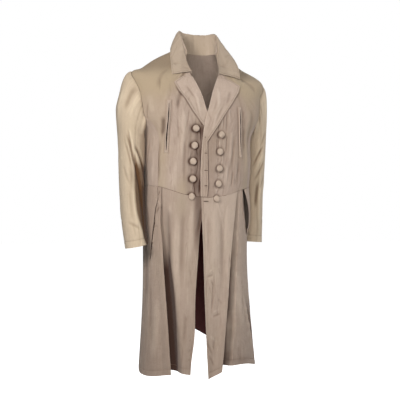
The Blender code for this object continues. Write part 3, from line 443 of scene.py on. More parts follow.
def ease(value: Array | float) -> Array:
    """Smooth step from 0 to 1: 3v squared less 2v cubed, held outside that span."""
    value = np.clip(value, 0, 1)
    return value * value * (3 - 2 * value)


def bell(distance: Array, width: float = 1.0) -> Array:
    """A bell curve: exp(-q^2) at q widths from its middle."""
    return np.exp(-((distance / width) ** 2))


def unit(vectors: Array) -> Array:
    """Each vector divided by its length."""
    return vectors / np.maximum(np.linalg.norm(vectors, axis=-1, keepdims=True), 1e-12)


def running_length(points: Array, axis: int = 0) -> Array:
    """The length run through along an axis of a grid or line of points, 0 at its first point."""
    steps = np.linalg.norm(np.diff(points, axis=axis), axis=-1)
    return np.insert(steps.cumsum(axis=axis), 0, 0.0, axis=axis)


def ring_point(angle: Array, height: Array) -> Array:
    """The plain body form: a rounded oval at each height, with its own front and back depth.

    The radius at an angle is (|sin/width|^n + |cos/depth|^n) to the power -1/n.

    Args:
        angle: round the body, in radians.
        height: metres above the origin.

    Returns:
        Points, one for each pair.
    """
    angle, height = np.broadcast_arrays(np.asarray(angle, float), np.asarray(height, float))
    across, along = np.sin(angle), np.cos(angle)
    depth = np.where(along > 0, BODY.at(height, "front_depth"), BODY.at(height, "back_depth"))
    power = BODY.at(height, "squareness")
    inverse = np.abs(across / BODY.at(height, "half_width")) ** power + np.abs(along / depth) ** power
    radius = inverse ** (-1 / power)
    x = CENTRE_X + BODY.at(height, "shift_x") + radius * across
    y = BODY.at(height, "centre_y") - radius * along
    return np.stack([x, y, height], axis=-1)


def ring_normal(angle: Array, height: Array) -> Array:
    """The body form's outward direction, from the cross product of two small steps along it.

    Args:
        angle: round the body, in radians.
        height: metres above the origin.

    Returns:
        Directions of length 1.
    """
    step = 0.002
    height = np.minimum(height, NECK_HEIGHT - step)
    around = ring_point(angle + step, height) - ring_point(angle - step, height)
    upward = ring_point(angle, height + step) - ring_point(angle, height - step)
    return unit(np.cross(around, upward))


def body(angle: Array, height: Array, offset: Array | float = 0.0) -> Array:
    """Points that stand off the body form by an offset along its outward direction.

    Args:
        angle: round the body, in degrees.
        height: metres above the origin.
        offset: metres outwards.

    Returns:
        Points, one for each place.
    """
    turn = np.radians(angle)
    return ring_point(turn, height) + np.asarray(offset, float)[..., None] * ring_normal(turn, height)


def angle_of(x: Array | float, height: Array | float) -> Array:
    """The angle in degrees at which the front of the body form is x across.

    Args:
        x: metres across, towards the wearer's left.
        height: metres above the origin.

    Returns:
        Degrees, one for each place.
    """
    away = np.asarray(x, float) - CENTRE_X - BODY.at(height, "shift_x")
    power = BODY.at(height, "squareness")
    across = np.clip(np.abs(away) / BODY.at(height, "half_width"), 0, 0.999)
    depth = BODY.at(height, "front_depth") * (1 - across**power) ** (1 / power)
    return np.degrees(np.arctan2(away, depth))


def waist_height(angle: Array) -> Array:
    """The waist seam's height at an angle, the same on both halves."""
    return WAIST_SEAM.at(180 - np.abs(np.mod(angle, 360) - 180))


def crease_relief(
    angle: Array, height: Array, lines: Sequence[Crease], radius: float = MEAN_RADIUS
) -> Array:
    """The sum of the creases' profiles, in metres.

    Across a crease, at q widths from its line, the profile is exp(-q^2)(1 - 0.6 q^2), which gives a
    trough soft raised shoulders. Along it, the profile eases in and out at the ends.

    Args:
        angle: degrees round the piece.
        height: metres.
        lines: the creases to add up.
        radius: turns degrees into metres round the piece.

    Returns:
        The relief at each place.
    """
    total = np.zeros(np.broadcast(angle, height).shape)
    u, v = np.radians(angle) * radius, height
    for crease in lines:
        u_a, u_b = math.radians(crease.angle_a) * radius, math.radians(crease.angle_b) * radius
        du, dv = u_b - u_a, crease.height_b - crease.height_a
        length = math.hypot(du, dv)
        along = ((u - u_a) * du + (v - crease.height_a) * dv) / length**2
        bow = crease.bow * ONE_MILLIMETRE * np.sin(np.pi * np.clip(along, 0, 1))
        away = ((v - crease.height_a) * du - (u - u_a) * dv) / length - bow
        q = away / (crease.width * ONE_MILLIMETRE)
        taper = ease(along / 0.30) * ease((1 - along) / 0.38)
        total += crease.depth * ONE_MILLIMETRE * taper * bell(q) * (1 - 0.6 * q**2)
    return total


def small_creases(
    seed: int, count: int, angles: tuple[float, float], heights: tuple[float, float], lean: float = 0.25
) -> list[Crease]:
    """Uneven fine creases, mostly along the cloth's length.

    Args:
        seed: fixes the places.
        count: how many.
        angles: the span round the piece, in degrees.
        heights: the span of heights.
        lean: how far the creases turn from upright, in radians.

    Returns:
        The creases.
    """
    rng = np.random.default_rng(seed)
    made = []
    for _ in range(count):
        angle, height = rng.uniform(*angles), rng.uniform(*heights)
        length = rng.uniform(0.020, 0.100)
        turn = rng.normal(0, lean)
        step = math.degrees(length * math.sin(turn) / MEAN_RADIUS)
        depth = rng.uniform(0.25, 1.10) * (-1 if rng.random() < 0.6 else 1)
        drop = length * math.cos(turn)
        width, bow = rng.uniform(2.4, 5.5), rng.normal(0, 2)
        made.append(Crease(angle, height, angle + step, height - drop, width, depth, bow))
    return made


def seam_dip(distance: Array, depth: float = 0.0005, width: float = 0.0026) -> Array:
    """The soft valley that a seam pulls into the cloth: a bell curve of the distance from it."""
    return -depth * bell(distance, width)


def waist_dip(angle: Array, height: Array) -> Array:
    """The shallow valley along the waist seam."""
    return seam_dip(height - waist_height(angle), WAIST_SEAM_DIP)


def hem_band(distance: Array, depth: float = 0.020) -> Array:
    """A turned-up hem: the band stands 0.3 mm proud and its stitch line sinks 0.5 mm."""
    inside = ease((depth - distance) / 0.004)
    return 0.0003 * inside - STITCH_GROOVE * bell(distance - depth, 0.0028)


def edge_groove(distance: Array) -> Array:
    """The groove of the stitching 6 mm in from an edge of the lapels and the collar."""
    return -STITCH_GROOVE * bell(distance - 0.006, 0.0016)


def settle(name: str, points: Array) -> Array:
    """Shifts where the two shoulders and collar halves hang unlike each other.

    Each shift fades as the squared product of two cosines of the distance across and up.

    Args:
        name: the piece, whose first word says which shifts it has.
        points: any array of points.

    Returns:
        The points, moved.
    """
    moved = points.copy()
    for row in SETTLES:
        if name.startswith(row.pieces):
            across = np.clip(np.abs(points[..., 0] - row.x) / row.reach_x, 0, 1)
            up = np.clip(np.abs(points[..., 2] - row.height) / row.reach_height, 0, 1)
            weight = (np.cos(across * np.pi / 2) * np.cos(up * np.pi / 2)) ** 2
            moved[..., 0] += weight * row.shift_x
            moved[..., 2] += weight * row.shift_height
    return moved


def spot(angle: Array, height: Array, middle: tuple[float, float], reach: tuple[float, float]) -> Array:
    """A soft spot on the cloth: a bell curve of the angle times one of the height."""
    return bell(angle - middle[0], reach[0]) * bell(height - middle[1], reach[1])


def srgb_to_linear(hex_colour: str) -> tuple[float, float, float, float]:
    """Turns an sRGB hex colour such as #C8B49A into linear red, green, blue and alpha."""
    levels = [int(hex_colour[k : k + 2], 16) / 255 for k in (1, 3, 5)]
    linear = [v / 12.92 if v <= 0.04045 else ((v + 0.055) / 1.055) ** 2.4 for v in levels]
    return linear[0], linear[1], linear[2], 1.0


def add_node(tree: Any, kind: str, settings: dict[str, Any] | None = None, links: dict | None = None) -> Any:
    """Adds a node with its settings and its incoming links.

    Args:
        tree: the material's or world's node tree.
        kind: the node's type, without Blender's "ShaderNode" before it.
        settings: attribute names, or input names and numbers, with their values.
        links: input names or numbers with the sockets that feed them.

    Returns:
        The node.
    """
    node = tree.nodes.new(f"ShaderNode{kind}")
    for name, value in (settings or {}).items():
        if isinstance(name, str) and hasattr(node, name):
            setattr(node, name, value)
        else:
            node.inputs[name].default_value = value
    for name, socket in (links or {}).items():
        tree.links.new(socket, node.inputs[name])
    return node


@dataclass(frozen=True)
class Finish:
    """What a piece is made of: a name, and a shader set up by the kind of finish."""

    name: str

    def paint(self, tree: Any, shader: Any) -> None:
        """Sets the shader up; each kind of finish has its own way."""

    def material(self) -> Any:
        """Makes the material, or gives the one already made.

        Returns:
            The material.
        """
        made = bpy.data.materials.get(self.name)
        if made is None:
            made = bpy.data.materials.new(self.name)
            made.use_nodes = True
            self.paint(made.node_tree, made.node_tree.nodes["Principled BSDF"])
        return made


@dataclass(frozen=True)
class CottonTwill(Finish):
    """Washed cotton twill, worn and faded: matt, slightly napped, with streaks along the warp.

    The attribute for wear and painted light is high on ridges and low in troughs, so raised creases
    are painted paler and sunk ones darker, painted light and shade on the relief; it also holds
    darker and paler patches of the cloth. The cast attribute brings out the yellower stain colour,
    and the shade attribute mixes in painted shade: the dark of deep folds and of shadows.
    """

    base: str
    faded: str
    deep: str
    stain: str
    weave_mm: float = 1.1
    streak: float = 0.55
    patch: float = 0.45
    stain_share: float = 0.35
    roughness: float = 0.93
    sheen: float = 0.10
    # The colour that painted shade is mixed towards.
    shadow: str = "#42261A"

    def paint(self, tree: Any, shader: Any) -> None:
        """Sets the shader up with the cloth's colour and surface.

        Args:
            tree: the material's node tree.
            shader: its shader node.
        """
        shader.inputs["Roughness"].default_value = self.roughness
        shader.inputs["Sheen Weight"].default_value = self.sheen
        shader.inputs["Sheen Roughness"].default_value = 0.6
        shader.inputs["Specular IOR Level"].default_value = 0.25
        cloth = add_node(tree, "UVMap", {"uv_map": "cloth"}).outputs[0]
        tree.links.new(self.colour(tree, cloth), shader.inputs["Base Color"])
        tree.links.new(self.surface(tree, cloth), shader.inputs["Normal"])

    def colour(self, tree: Any, cloth: Any) -> Any:
        """Builds the cloth's colour from streaks, patches, wear, stains and painted light and shade.

        Args:
            tree: the material's node tree.
            cloth: the socket with the place on the flat cloth, in metres.

        Returns:
            The socket with the colour.
        """
        fade, cast, shade = (
            add_node(tree, "Attribute", {"attribute_name": name}).outputs["Fac"]
            for name in ("fade", "cast", "shade")
        )
        # Yarn streaks are 5 mm wide and 90 mm long, coarser than real slubs so that they show.
        streak_map = add_node(tree, "Mapping", {"Scale": (200.0, 11.0, 1.0)}, {"Vector": cloth}).outputs[0]
        # Patches left by washing and wear are 30 to 60 mm across.
        streaks, patches, stains = (
            add_node(tree, "TexNoise", settings, {"Vector": place}).outputs["Fac"]
            for place, settings in (
                (streak_map, {"Scale": 1.0, "Detail": 6.0, "Roughness": 0.75}),
                (cloth, {"Scale": 20.0, "Detail": 8.0, "Roughness": 0.78}),
                (cloth, {"Scale": 5.5, "Detail": 3.0}),
            )
        )
        # Each step is a factor times its noise or mark, added to the step before.
        settings = {"operation": "MULTIPLY_ADD", 1: self.patch, 2: 0.5 - self.patch / 2}
        worn = add_node(tree, "Math", settings, {0: patches}).outputs[0]
        for factor, mark in ((self.streak, streaks), (0.60, fade)):
            settings = {"operation": "MULTIPLY_ADD", 1: factor}
            worn = add_node(tree, "Math", settings, {0: mark, 2: worn}).outputs[0]
        # Low values, painted shade in troughs as well as darker wear, take the deep colour; high ones,
        # painted highlight on ridges as well as paler wear, take the faded colour.
        ramp = add_node(tree, "ValToRGB", None, {0: worn})
        stops = ramp.color_ramp.elements
        stops[0].position, stops[0].color = 0.10, srgb_to_linear(self.deep)
        stops[1].position, stops[1].color = 1.0, srgb_to_linear(self.faded)
        stops.new(0.72).color = srgb_to_linear(self.base)
        spread = {"From Min": 0.45, "From Max": 0.75, "To Max": self.stain_share}
        share = add_node(tree, "MapRange", spread, {"Value": stains}).outputs[0]
        share = add_node(tree, "Math", {"operation": "ADD", "use_clamp": True}, {0: share, 1: cast})
        # The bottoms of deep folds are drawn darker than the light alone leaves them.
        colour = ramp.outputs[0]
        for amount, tint in ((share.outputs[0], self.stain), (shade, self.shadow)):
            settings = {"data_type": "RGBA", 7: srgb_to_linear(tint)}
            colour = add_node(tree, "Mix", settings, {0: amount, 6: colour}).outputs[2]
        return colour

    def surface(self, tree: Any, cloth: Any) -> Any:
        """Builds the cloth's bumps: the weave, the crumpled surface and the long soft wrinkles.

        Args:
            tree: the material's node tree.
            cloth: the socket with the place on the flat cloth, in metres.

        Returns:
            The socket with the bumped normal.
        """
        # One diagonal wave is 0.444 m over the scale, so this scale gives one twill line a pitch.
        twill = {"bands_direction": "DIAGONAL", "Scale": 444.0 / self.weave_mm, "Distortion": 1.5}
        wrinkle_map = add_node(tree, "Mapping", {"Scale": (110.0, 16.0, 1.0)}, {"Vector": cloth}).outputs[0]
        normal = None
        for kind, settings, place, strength, distance in (
            ("TexWave", twill | {"Detail": 1.0}, cloth, 0.30, 0.0003),
            ("TexNoise", {"Scale": 105.0, "Detail": 6.0, "Roughness": 0.65}, cloth, 0.85, 0.0021),
            ("TexNoise", {"Scale": 1.0, "Detail": 3.0, "Distortion": 0.4}, wrinkle_map, 0.55, 0.0022),
        ):
            links = {"Height": add_node(tree, kind, settings, {"Vector": place}).outputs["Fac"]}
            if normal is not None:
                links["Normal"] = normal
            normal = add_node(tree, "Bump", {"Strength": strength, "Distance": distance}, links).outputs[0]
        return normal


COAT_TWILL = CottonTwill("washed taupe cotton twill", "#AE9B8E", "#C0AEA0", "#8A7565", "#AE9C84")
SKIRT_TWILL = CottonTwill(
    "washed taupe cotton twill of the skirt", "#AD9A8C", "#BFAD9E", "#877264", "#AB9B87"
)
SLEEVE_TWILL = CottonTwill(
    "sun-faded khaki cotton twill", "#C5B39C", "#D5C4AC", "#99846F", "#BCA98C", shadow="#50300F"
)
COLLAR_TWILL = CottonTwill(
    "rubbed taupe cotton twill of the collar", "#BAA799", "#CCBBAD", "#8E796B", "#B3A28D"
)
BUTTON_COTTON = CottonTwill(
    "taupe cotton stretched over a button", "#BBA898", "#CAB8A8", "#857060", "#B3A08C", 0.8, 0.3, 0.3, 0.2
)
LINING_SATEEN = CottonTwill(
    "dark red cotton sateen", "#460C09", "#5A1410", "#260807", "#3A0E0E", 0.7, 0.4, 0.4, 0.3, 0.62, 0.05
)


@dataclass(frozen=True)
class PlainThread(Finish):
    """Cotton sewing thread: matt, one colour with a slight change from stitch to stitch."""

    colour: str

    def paint(self, tree: Any, shader: Any) -> None:
        """Sets the shader up with a colour that noise darkens by up to a quarter.

        Args:
            tree: the material's node tree.
            shader: its shader node.
        """
        shader.inputs["Roughness"].default_value = 0.85
        place = add_node(tree, "TexCoord").outputs["Object"]
        noise = add_node(tree, "TexNoise", {"Scale": 180.0, "Detail": 1.0}, {"Vector": place})
        colour = srgb_to_linear(self.colour)
        dark = tuple(v * 0.75 for v in colour[:3]) + (1.0,)
        mix = add_node(tree, "Mix", {"data_type": "RGBA", 6: dark, 7: colour}, {0: noise.outputs["Fac"]})
        tree.links.new(mix.outputs[2], shader.inputs["Base Color"])


TAUPE_THREAD = PlainThread("taupe cotton thread", "#947F6E")
BROWN_THREAD = PlainThread("brown buttonhole thread", "#7D6858")
PALE_THREAD = PlainThread("pale cotton thread", "#D9CDB8")
# The pocket cloth's near-black colour is painted shade of the pocket's inside.
POCKETING_IN_PAINTED_SHADE = CottonTwill(
    "dark brown cotton pocketing", "#22160F", "#2A1C14", "#140C08", "#1D130D", 0.7, 0.3, 0.3, 0.2
)
# A dark sheet in each buttonhole's slit, painted shade of the opening.
SLIT_SHADE = PlainThread("dark brown pocketing", "#1C130E")


def grid_normals(points: Array, wrap: bool = False) -> Array:
    """Outward directions of a grid: the cross product of its differences along rows and columns.

    Args:
        points: rows by columns by 3.
        wrap: whether the last column joins the first.

    Returns:
        Directions of length 1, one for each point.
    """
    if wrap:
        across = np.roll(points, -1, axis=1) - np.roll(points, 1, axis=1)
    else:
        across = np.gradient(points, axis=1)
    return unit(np.cross(across, np.gradient(points, axis=0)))


def grid_quads(rows: int, columns: int, wrap: bool = False) -> Array:
    """Four-sided faces of a grid of points, numbered row by row.

    Args:
        rows: how many.
        columns: how many.
        wrap: whether the last column joins the first.

    Returns:
        Four point numbers for each face.
    """
    number = np.arange(rows * columns).reshape(rows, columns)
    if wrap:
        number = np.concatenate([number, number[:, :1]], axis=1)
    corners = (number[:-1, :-1], number[:-1, 1:], number[1:, 1:], number[1:, :-1])
    return np.stack(corners, axis=-1).reshape(-1, 4)


def faces_along(points: Array, face: Array, outward: Array) -> bool:
    """Whether a face's own normal points along an outward direction."""
    first, second, third = points[face[:3]]
    return float(np.dot(np.cross(second - first, third - first), outward)) >= 0


def open_edges(quads: Array, count: int) -> Array:
    """Edges that only one face has, in that face's direction.

    Args:
        quads: the faces.
        count: how many points there are.

    Returns:
        Two point numbers for each open edge.
    """
    edges = np.concatenate([quads[:, [k, (k + 1) % 4]] for k in range(4)])
    keys = edges.min(axis=1) * count + edges.max(axis=1)
    _, first, uses = np.unique(keys, return_index=True, return_counts=True)
    return edges[first[uses == 1]]


def mesh_object(name: str, points: Array, faces: list, material: Any, sharp: float = 50.0) -> Any:
    """Makes an object from points and faces, shaded smooth but for its sharp edges.

    Args:
        name: the object's name.
        points: n by 3.
        faces: lists of point numbers.
        material: what it is made of.
        sharp: the angle in degrees past which an edge stays sharp.

    Returns:
        The object, linked to the scene.
    """
    mesh = bpy.data.meshes.new(name)
    mesh.from_pydata(np.asarray(points).tolist(), [], faces)
    mesh.shade_smooth()
    mesh.set_sharp_from_angle(angle=math.radians(sharp))
    mesh.materials.append(material)
    piece = bpy.data.objects.new(name, mesh)
    bpy.context.scene.collection.objects.link(piece)
    return piece


def write_marks(piece: Any, uv: Array, marks: dict[str, Array]) -> None:
    """Writes a piece's place on the flat cloth, in metres, and its state at each point.

    Args:
        piece: the object.
        uv: n by 2, one for each point.
        marks: numbers by name, one for each point.
    """
    mesh = piece.data
    corners = np.empty(len(mesh.loops), dtype=np.int64)
    mesh.loops.foreach_get("vertex_index", corners)
    layer = mesh.uv_layers.new(name="cloth")
    layer.data.foreach_set("uv", uv[corners].astype(np.float32).ravel())
    for key, mark in marks.items():
        attribute = mesh.attributes.new(key, "FLOAT", "POINT")
        attribute.data.foreach_set("value", mark.astype(np.float32).ravel())


def cloth_wall(
    name: str,
    points: Array,
    normals: Array,
    quads: Array,
    uv: Array,
    marks: dict[str, Array],
    material: Any,
    wall: float = CLOTH_WALL,
) -> Any:
    """A closed wall of cloth: the outer skin, the same skin moved in by the wall, and the rim.

    Args:
        name: the object's name.
        points: outer points, n by 3.
        normals: outward directions at the points.
        quads: outer faces, pointing outwards.
        uv: place on the flat cloth in metres, n by 2.
        marks: the cloth's state at each point: its wear and painted light, its painted shade, and its cast.
        material: what it is made of.
        wall: the cloth's thickness.

    Returns:
        The object.
    """
    count = len(points)
    every = np.concatenate([points, points - wall * normals])
    rim = open_edges(quads, count)
    sides = np.stack([rim[:, 1], rim[:, 0], rim[:, 0] + count, rim[:, 1] + count], axis=1)
    faces = np.concatenate([quads, quads[:, ::-1] + count, sides])
    piece = mesh_object(name, every, faces.tolist(), material)
    inner = np.zeros(count)
    both = {key: np.concatenate([mark, inner]) for key, mark in marks.items()}
    write_marks(piece, np.concatenate([uv, uv]), both)
    return piece


def surface_area(points: Array) -> float:
    """The area of a grid of points, from the cross products of its cells' diagonals."""
    first = points[1:, 1:] - points[:-1, :-1]
    second = points[1:, :-1] - points[:-1, 1:]
    return float(np.linalg.norm(np.cross(first, second), axis=-1).sum() / 2)


@dataclass
class Grid:
    """A sheet's outer surface as a grid, with the way to turn it into a wall of cloth."""

    points: Array
    outward: Array
    relief: Array
    wall: float = CLOTH_WALL
    quads: Array | None = None
    normals: Array | None = None
    marks: dict[str, Array] = field(default_factory=dict)

    @classmethod
    def on_body(cls, angle: Array, height: Array, offset: Array, relief: Array, **options: Any) -> "Grid":
        """A sheet that stands off the body form by an offset, with the relief that its painted light and
        shade follow.
        """
        return cls(body(angle, height, offset), ring_normal(np.radians(angle), height), relief, **options)

    def flat_place(self) -> Array:
        """Place on the flat cloth: along the middle row, and the columns' mean distance down."""
        across = running_length(self.points[len(self.points) // 2])
        down = running_length(self.points).mean(axis=1)
        return np.stack(np.meshgrid(across, down), axis=-1)

    def cut(self) -> tuple[float, float, float]:
        """The flat cut: the longest row, the longest column and the area, in metres."""
        longest = (float(running_length(self.points, axis).max()) for axis in (1, 0))
        return *longest, surface_area(self.points)

    def build(self, name: str, finish: CottonTwill) -> Any:
        """Makes the wall of cloth, settled as the coat hangs and with its faces pointing outwards.

        Ridges of the relief are painted paler and its troughs get painted shade, on top of the grid's own
        marks.

        Args:
            name: the object's name.
            finish: what the cloth is.

        Returns:
            The object.
        """
        self.points = settle(name, self.points)
        normals = grid_normals(self.points) if self.normals is None else self.normals
        quads = grid_quads(*self.points.shape[:2]) if self.quads is None else self.quads
        if float((normals * self.outward).sum()) < 0:
            normals = -normals
            quads = quads[:, ::-1]
        self.normals = normals
        # Painted light and shade on the relief: ridges paler, troughs darker.
        fade = np.clip(self.relief / (3 * ONE_MILLIMETRE), -0.35, 0.35) + self.marks.get("fade", 0.0)
        shade = np.clip((-self.relief / ONE_MILLIMETRE - 0.8) / 5.5, 0, 0.6) + self.marks.get("shade", 0.0)
        marks = self.marks | {"fade": fade, "shade": np.clip(shade, 0, 0.95)}
        used, compact = np.unique(quads, return_inverse=True)
        points, directions = (a.reshape(-1, 3)[used] for a in (self.points, normals))
        uv = self.flat_place().reshape(-1, 2)[used]
        marks = {key: mark.ravel()[used] for key, mark in marks.items()}
        quads = compact.reshape(-1, 4)
        return cloth_wall(name, points, directions, quads, uv, marks, finish.material(), self.wall)


def dress(piece: Any, nodes: Sequence[str], grid: Grid | None = None) -> Any:
    """Hangs a piece under the root, hides the CAD nodes that it replaces and, for a sheet, logs the size that
    it was cut to.

    Args:
        piece: the object.
        nodes: the CAD nodes that it replaces.
        grid: the sheet's surface, if the piece is a sheet of cloth.

    Returns:
        The piece.
    """
    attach(piece, "root")
    if nodes:
        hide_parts(*nodes)
    if grid is not None:
        width, length, area = grid.cut()
        area = min(area, width * length)
        log.info("%s: cut %.3f by %.3f m, %.3f square metres", piece.name, width, length, area)
    else:
        log.info("%s", piece.name)
    return piece


def inset_line(grid: Grid, edge: str, distance: float) -> tuple[Array, Array]:
    """A line over a grid that keeps a given distance from one of its edges.

    In each row the place is read between the two columns whose running length spans the distance.

    Args:
        grid: a built grid, so that its points and outward normals are final.
        edge: "start" or "end" for its first or last column, "head" or "foot" for its first or last
            row.
        distance: metres in from that edge.

    Returns:
        The line's points and the outward directions there.
    """
    turned = {
        "end": lambda a: a[:, ::-1],
        "start": lambda a: a,
        "foot": lambda a: a[::-1].transpose(1, 0, 2),
        "head": lambda a: a.transpose(1, 0, 2),
    }[edge]
    points, normals = turned(grid.points), turned(grid.normals)
    reach = running_length(points, axis=1)
    place = np.clip((reach < distance).sum(axis=1) - 1, 0, points.shape[1] - 2)
    row = np.arange(len(points))
    t = ((distance - reach[row, place]) / (reach[row, place + 1] - reach[row, place]))[:, None]
    line = points[row, place] * (1 - t) + points[row, place + 1] * t
    return line, unit(normals[row, place] * (1 - t) + normals[row, place + 1] * t)


@dataclass
class StitchLines:
    """Rows of stitches gathered into one mesh: each is a small rounded bar of thread."""

    name: str
    thread: PlainThread
    length: float = 0.0027
    pitch: float = 0.0036
    radius: float = 0.00045
    starts: list[Array] = field(default_factory=list)
    ends: list[Array] = field(default_factory=list)
    normals: list[Array] = field(default_factory=list)

    def add(self, path: Array, outward: Array) -> None:
        """Lays stitches along a path on the cloth.

        Args:
            path: points along the seam.
            outward: the cloth's outward directions at those points.
        """
        reach = running_length(path)
        first = np.arange(self.pitch / 2, reach[-1] - self.length, self.pitch)
        if not len(first):
            return
        starts, ends, normals = (
            np.stack([np.interp(places, reach, column) for column in values.T], axis=1)
            for places, values in ((first, path), (first + self.length, path), (first, outward))
        )
        self.starts.append(starts)
        self.ends.append(ends)
        self.normals.append(unit(normals))

    def follow(self, grid: Grid, edge: str, distance: float, first: float = 0.0, last: float = 1.0) -> None:
        """Lays stitches along a grid's edge, on the stretch between two shares of it."""
        line, outward = inset_line(grid, edge, distance)
        span = slice(int(first * len(line)), int(last * len(line)))
        self.add(line[span] + 0.0002 * outward[span], outward[span])

    def add_bar(self, start: Array, end: Array, outward: Array) -> None:
        """Lays one single stitch from start to end."""
        self.starts.append(start[None])
        self.ends.append(end[None])
        self.normals.append(unit(outward)[None])

    def build(self) -> Any:
        """Makes the mesh: four rings of five points for each stitch, closed at both ends.

        Returns:
            The object.
        """
        start, end = np.concatenate(self.starts), np.concatenate(self.ends)
        normal = np.concatenate(self.normals)
        along = end - start
        side = unit(np.cross(unit(along), normal))
        turn = np.radians(np.arange(5) * 72.0)[None, :, None]
        spoke = np.cos(turn) * side[:, None] + np.sin(turn) * normal[:, None]
        rings = []
        for share, size, lift in ((0.0, 0.35, -0.2), (0.22, 1.0, 0.5), (0.78, 1.0, 0.5), (1.0, 0.35, -0.2)):
            centre = start + along * share + normal * self.radius * lift
            rings.append(centre[:, None] + spoke * self.radius * size)
        points = np.stack(rings, axis=1)
        count = len(start)
        number = np.arange(count * 20).reshape(count, 4, 5)
        after = np.roll(number, -1, axis=2)
        quads = np.stack([number[:, :-1], number[:, 1:], after[:, 1:], after[:, :-1]], axis=-1).reshape(-1, 4)
        faces = quads.tolist() + number[:, 0].tolist() + number[:, -1, ::-1].tolist()
        return mesh_object(self.name, points.reshape(-1, 3), faces, self.thread.material(), 80.0)


def lap_offset(angle: Array, side: Side) -> Array:
    """How far the left front stands off the body where it lies over the right front."""
    if side is Side.RIGHT:
        return np.zeros(np.shape(angle))
    return LAP_HEIGHT * (1 - ease((angle - LAP_START_ANGLE) / (LAP_END_ANGLE - LAP_START_ANGLE)))


def skirt_folds(angle: Array, height: Array) -> Array:
    """The skirt's soft folds: bell curves round the body that grow from their start to the hem.

    Args:
        angle: degrees round the body, signed.
        height: metres above the origin.

    Returns:
        Metres outwards.
    """
    total = np.zeros(np.broadcast(angle, height).shape)
    for fold in SKIRT_FOLDS:
        grow = ease((fold.start - height) / (fold.start - SKIRT_LOWEST_HEIGHT))
        centre = fold.top_angle + (fold.hem_angle - fold.top_angle) * grow
        away = np.mod(angle - centre + 180, 360) - 180
        total = total + fold.height * grow * bell(away, fold.width)
    return total


